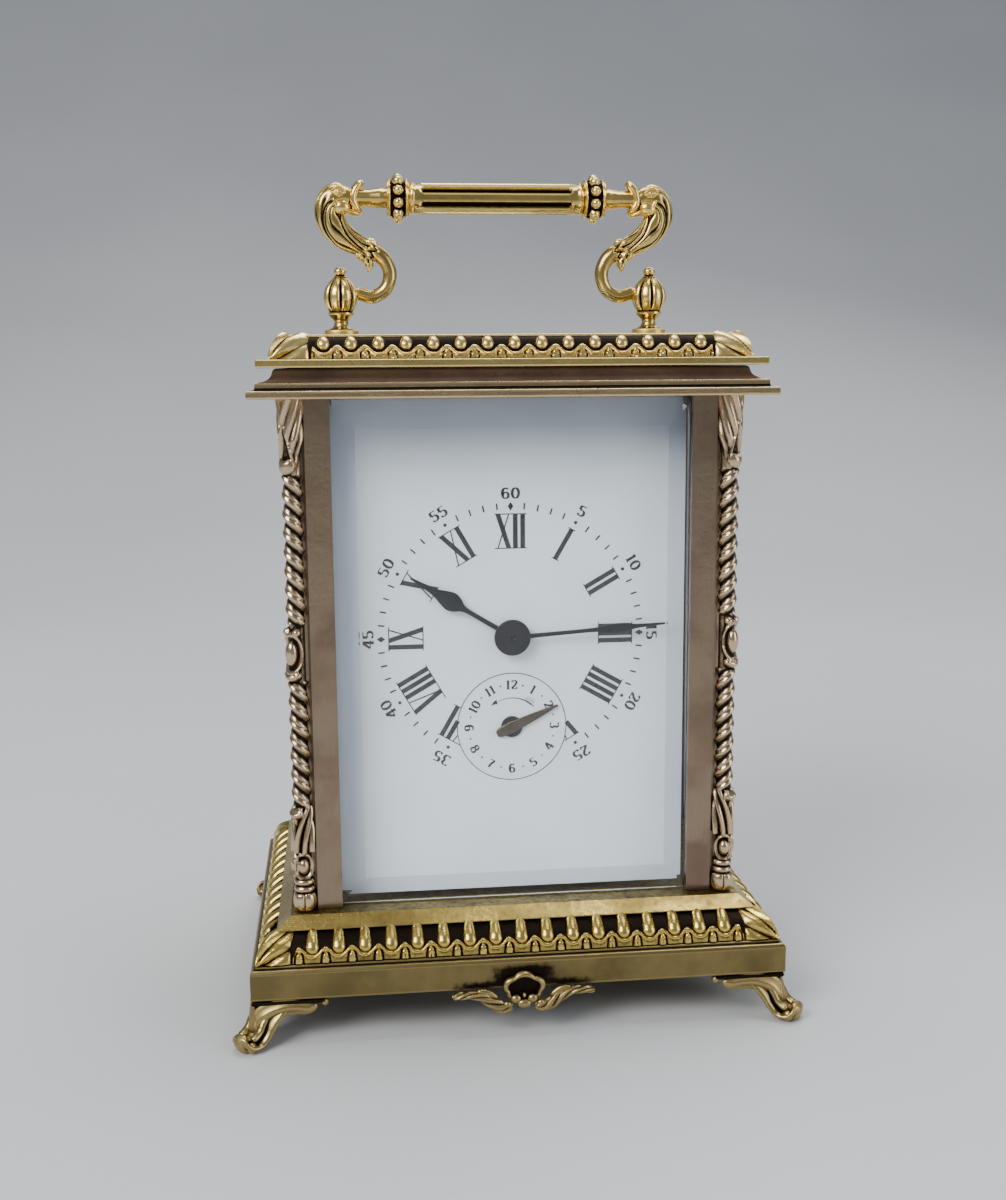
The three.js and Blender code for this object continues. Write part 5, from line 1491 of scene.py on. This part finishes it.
dress(["post_" + corner[0] for corner in CORNERS], BAR_BRASS, 0.3)
dress(["door_frame"], BAR_BRASS, 0.2)
dress(["glass_front", "glass_left", "glass_right", "glass_top", "door_glass"], GLASS, 0.22, 5, 8)
dress(["front_plate", "back_plate"], PLATE_BRASS, 0.12)
dress(["dial"], ENAMEL, 0.1)
dress(["door_knob", "barrel_cap", "going_barrel", "alarm_barrel"], WHEEL_BRASS)
dress([kind + "_wheel" for kind in ("centre", "third", "contrate", "escape", "balance")], WHEEL_BRASS)
dress([kind + "_wheel" for kind in ("minute", "hour", "alarm_pin")], WHEEL_BRASS)
dress(["platform", "balance_cock"], STEEL, 0.12)
dress(["winding_arbor", "click", "pallet_lever", "cannon_pinion"], STEEL)
dress(["alarm_hammer", "bell_screw", "mainspring", "hinge_pin_lower", "hinge_pin_upper"], STEEL)
dress(["hairspring"], BLUED)
dress(["bell"], BELL_METAL)


# ---------------------------------------------------------------- camera, light and floor

CAMERA_AT = (-34.3, -312.2, 137.7)
CAMERA_YAW, CAMERA_PITCH, CAMERA_ROLL = 6.44, -9.59, -0.41
SENSOR_WIDTH, FOCAL_LENGTH = 36, 41.94


def photo_camera():
    """A camera where the clock's perspective in the photo puts it: near, above the middle, looking down."""
    place = Vector(CAMERA_AT) * MM
    yaw, pitch, roll = (math.radians(a) for a in (CAMERA_YAW, CAMERA_PITCH, CAMERA_ROLL))
    look = Vector((math.sin(yaw) * math.cos(pitch), math.cos(yaw) * math.cos(pitch), math.sin(pitch)))
    right = Vector((math.cos(yaw), -math.sin(yaw), 0))
    up = right.cross(look)
    right_rolled = right * math.cos(roll) + up * math.sin(roll)
    up_rolled = up * math.cos(roll) - right * math.sin(roll)
    data = bpy.data.cameras.new("camera")
    data.sensor_width = SENSOR_WIDTH
    data.lens = FOCAL_LENGTH
    data.clip_start, data.clip_end = 0.01, 20
    camera = bpy.data.objects.new("camera", data)
    axes = Matrix((right_rolled, up_rolled, -look)).transposed()
    camera.matrix_world = Matrix.Translation(place) @ axes.to_4x4()
    bpy.context.scene.collection.objects.link(camera)
    bpy.context.scene.camera = camera


def backdrop():
    """A pale floor that curves up into a wall far behind the clock."""
    reach, bend, height = 0.45, 1.7, 2.6
    turn = np.linspace(0, math.pi / 2, 40)
    profile = [(-1.6, 0.0)] + [(reach + bend * math.sin(t), bend - bend * math.cos(t)) for t in turn]
    profile.append((reach + bend, height))
    rows = [[(-3.0, y, z), (3.0, y, z)] for y, z in profile]
    points, faces = grid(np.array(rows), flip=True)
    mesh = bpy.data.meshes.new("floor")
    mesh.from_pydata(points.tolist(), [], faces)
    mesh.shade_smooth()
    n = Nodes("floor_grey")
    colour = n.mix(n.spread(n.noise(3, 3), 0.3, 0.7), (0.52, 0.53, 0.55), (0.56, 0.57, 0.59))
    mesh.materials.append(n.set(Base_Color=colour, Roughness=0.75))
    floor = bpy.data.objects.new("floor", mesh)
    bpy.context.scene.collection.objects.link(floor)


def area_light(name, at, aim, size, power, colour=(1, 1, 1)):
    """A soft rectangular lamp pointed at a place."""
    data = bpy.data.lights.new(name, "AREA")
    data.shape = "RECTANGLE"
    data.size, data.size_y = size
    data.energy = power
    data.color = colour
    lamp = bpy.data.objects.new(name, data)
    lamp.location = at
    lamp.rotation_mode = "QUATERNION"
    lamp.rotation_quaternion = (Vector(aim) - Vector(at)).to_track_quat("-Z", "Y")
    bpy.context.scene.collection.objects.link(lamp)


def studio():
    """A soft sky, a large key on the left, a fill on the right and a strip above."""
    world = bpy.data.worlds.new("studio")
    world.use_nodes = True
    world.node_tree.nodes["Background"].inputs["Color"].default_value = (0.62, 0.66, 0.72, 1)
    world.node_tree.nodes["Background"].inputs["Strength"].default_value = 0.45
    bpy.context.scene.world = world
    middle = (0, 0, 0.09)
    area_light("key", (-0.75, -0.75, 0.85), middle, (0.7, 0.6), 17, (1, 0.98, 0.95))
    area_light("fill", (0.95, -0.55, 0.35), middle, (0.5, 0.9), 5, (0.95, 0.97, 1))
    area_light("top", (0.1, 0.15, 1.1), middle, (0.9, 0.5), 9)
    area_light("rim", (0.5, 0.8, 0.8), middle, (0.9, 0.7), 3)


photo_camera()
backdrop()
studio()
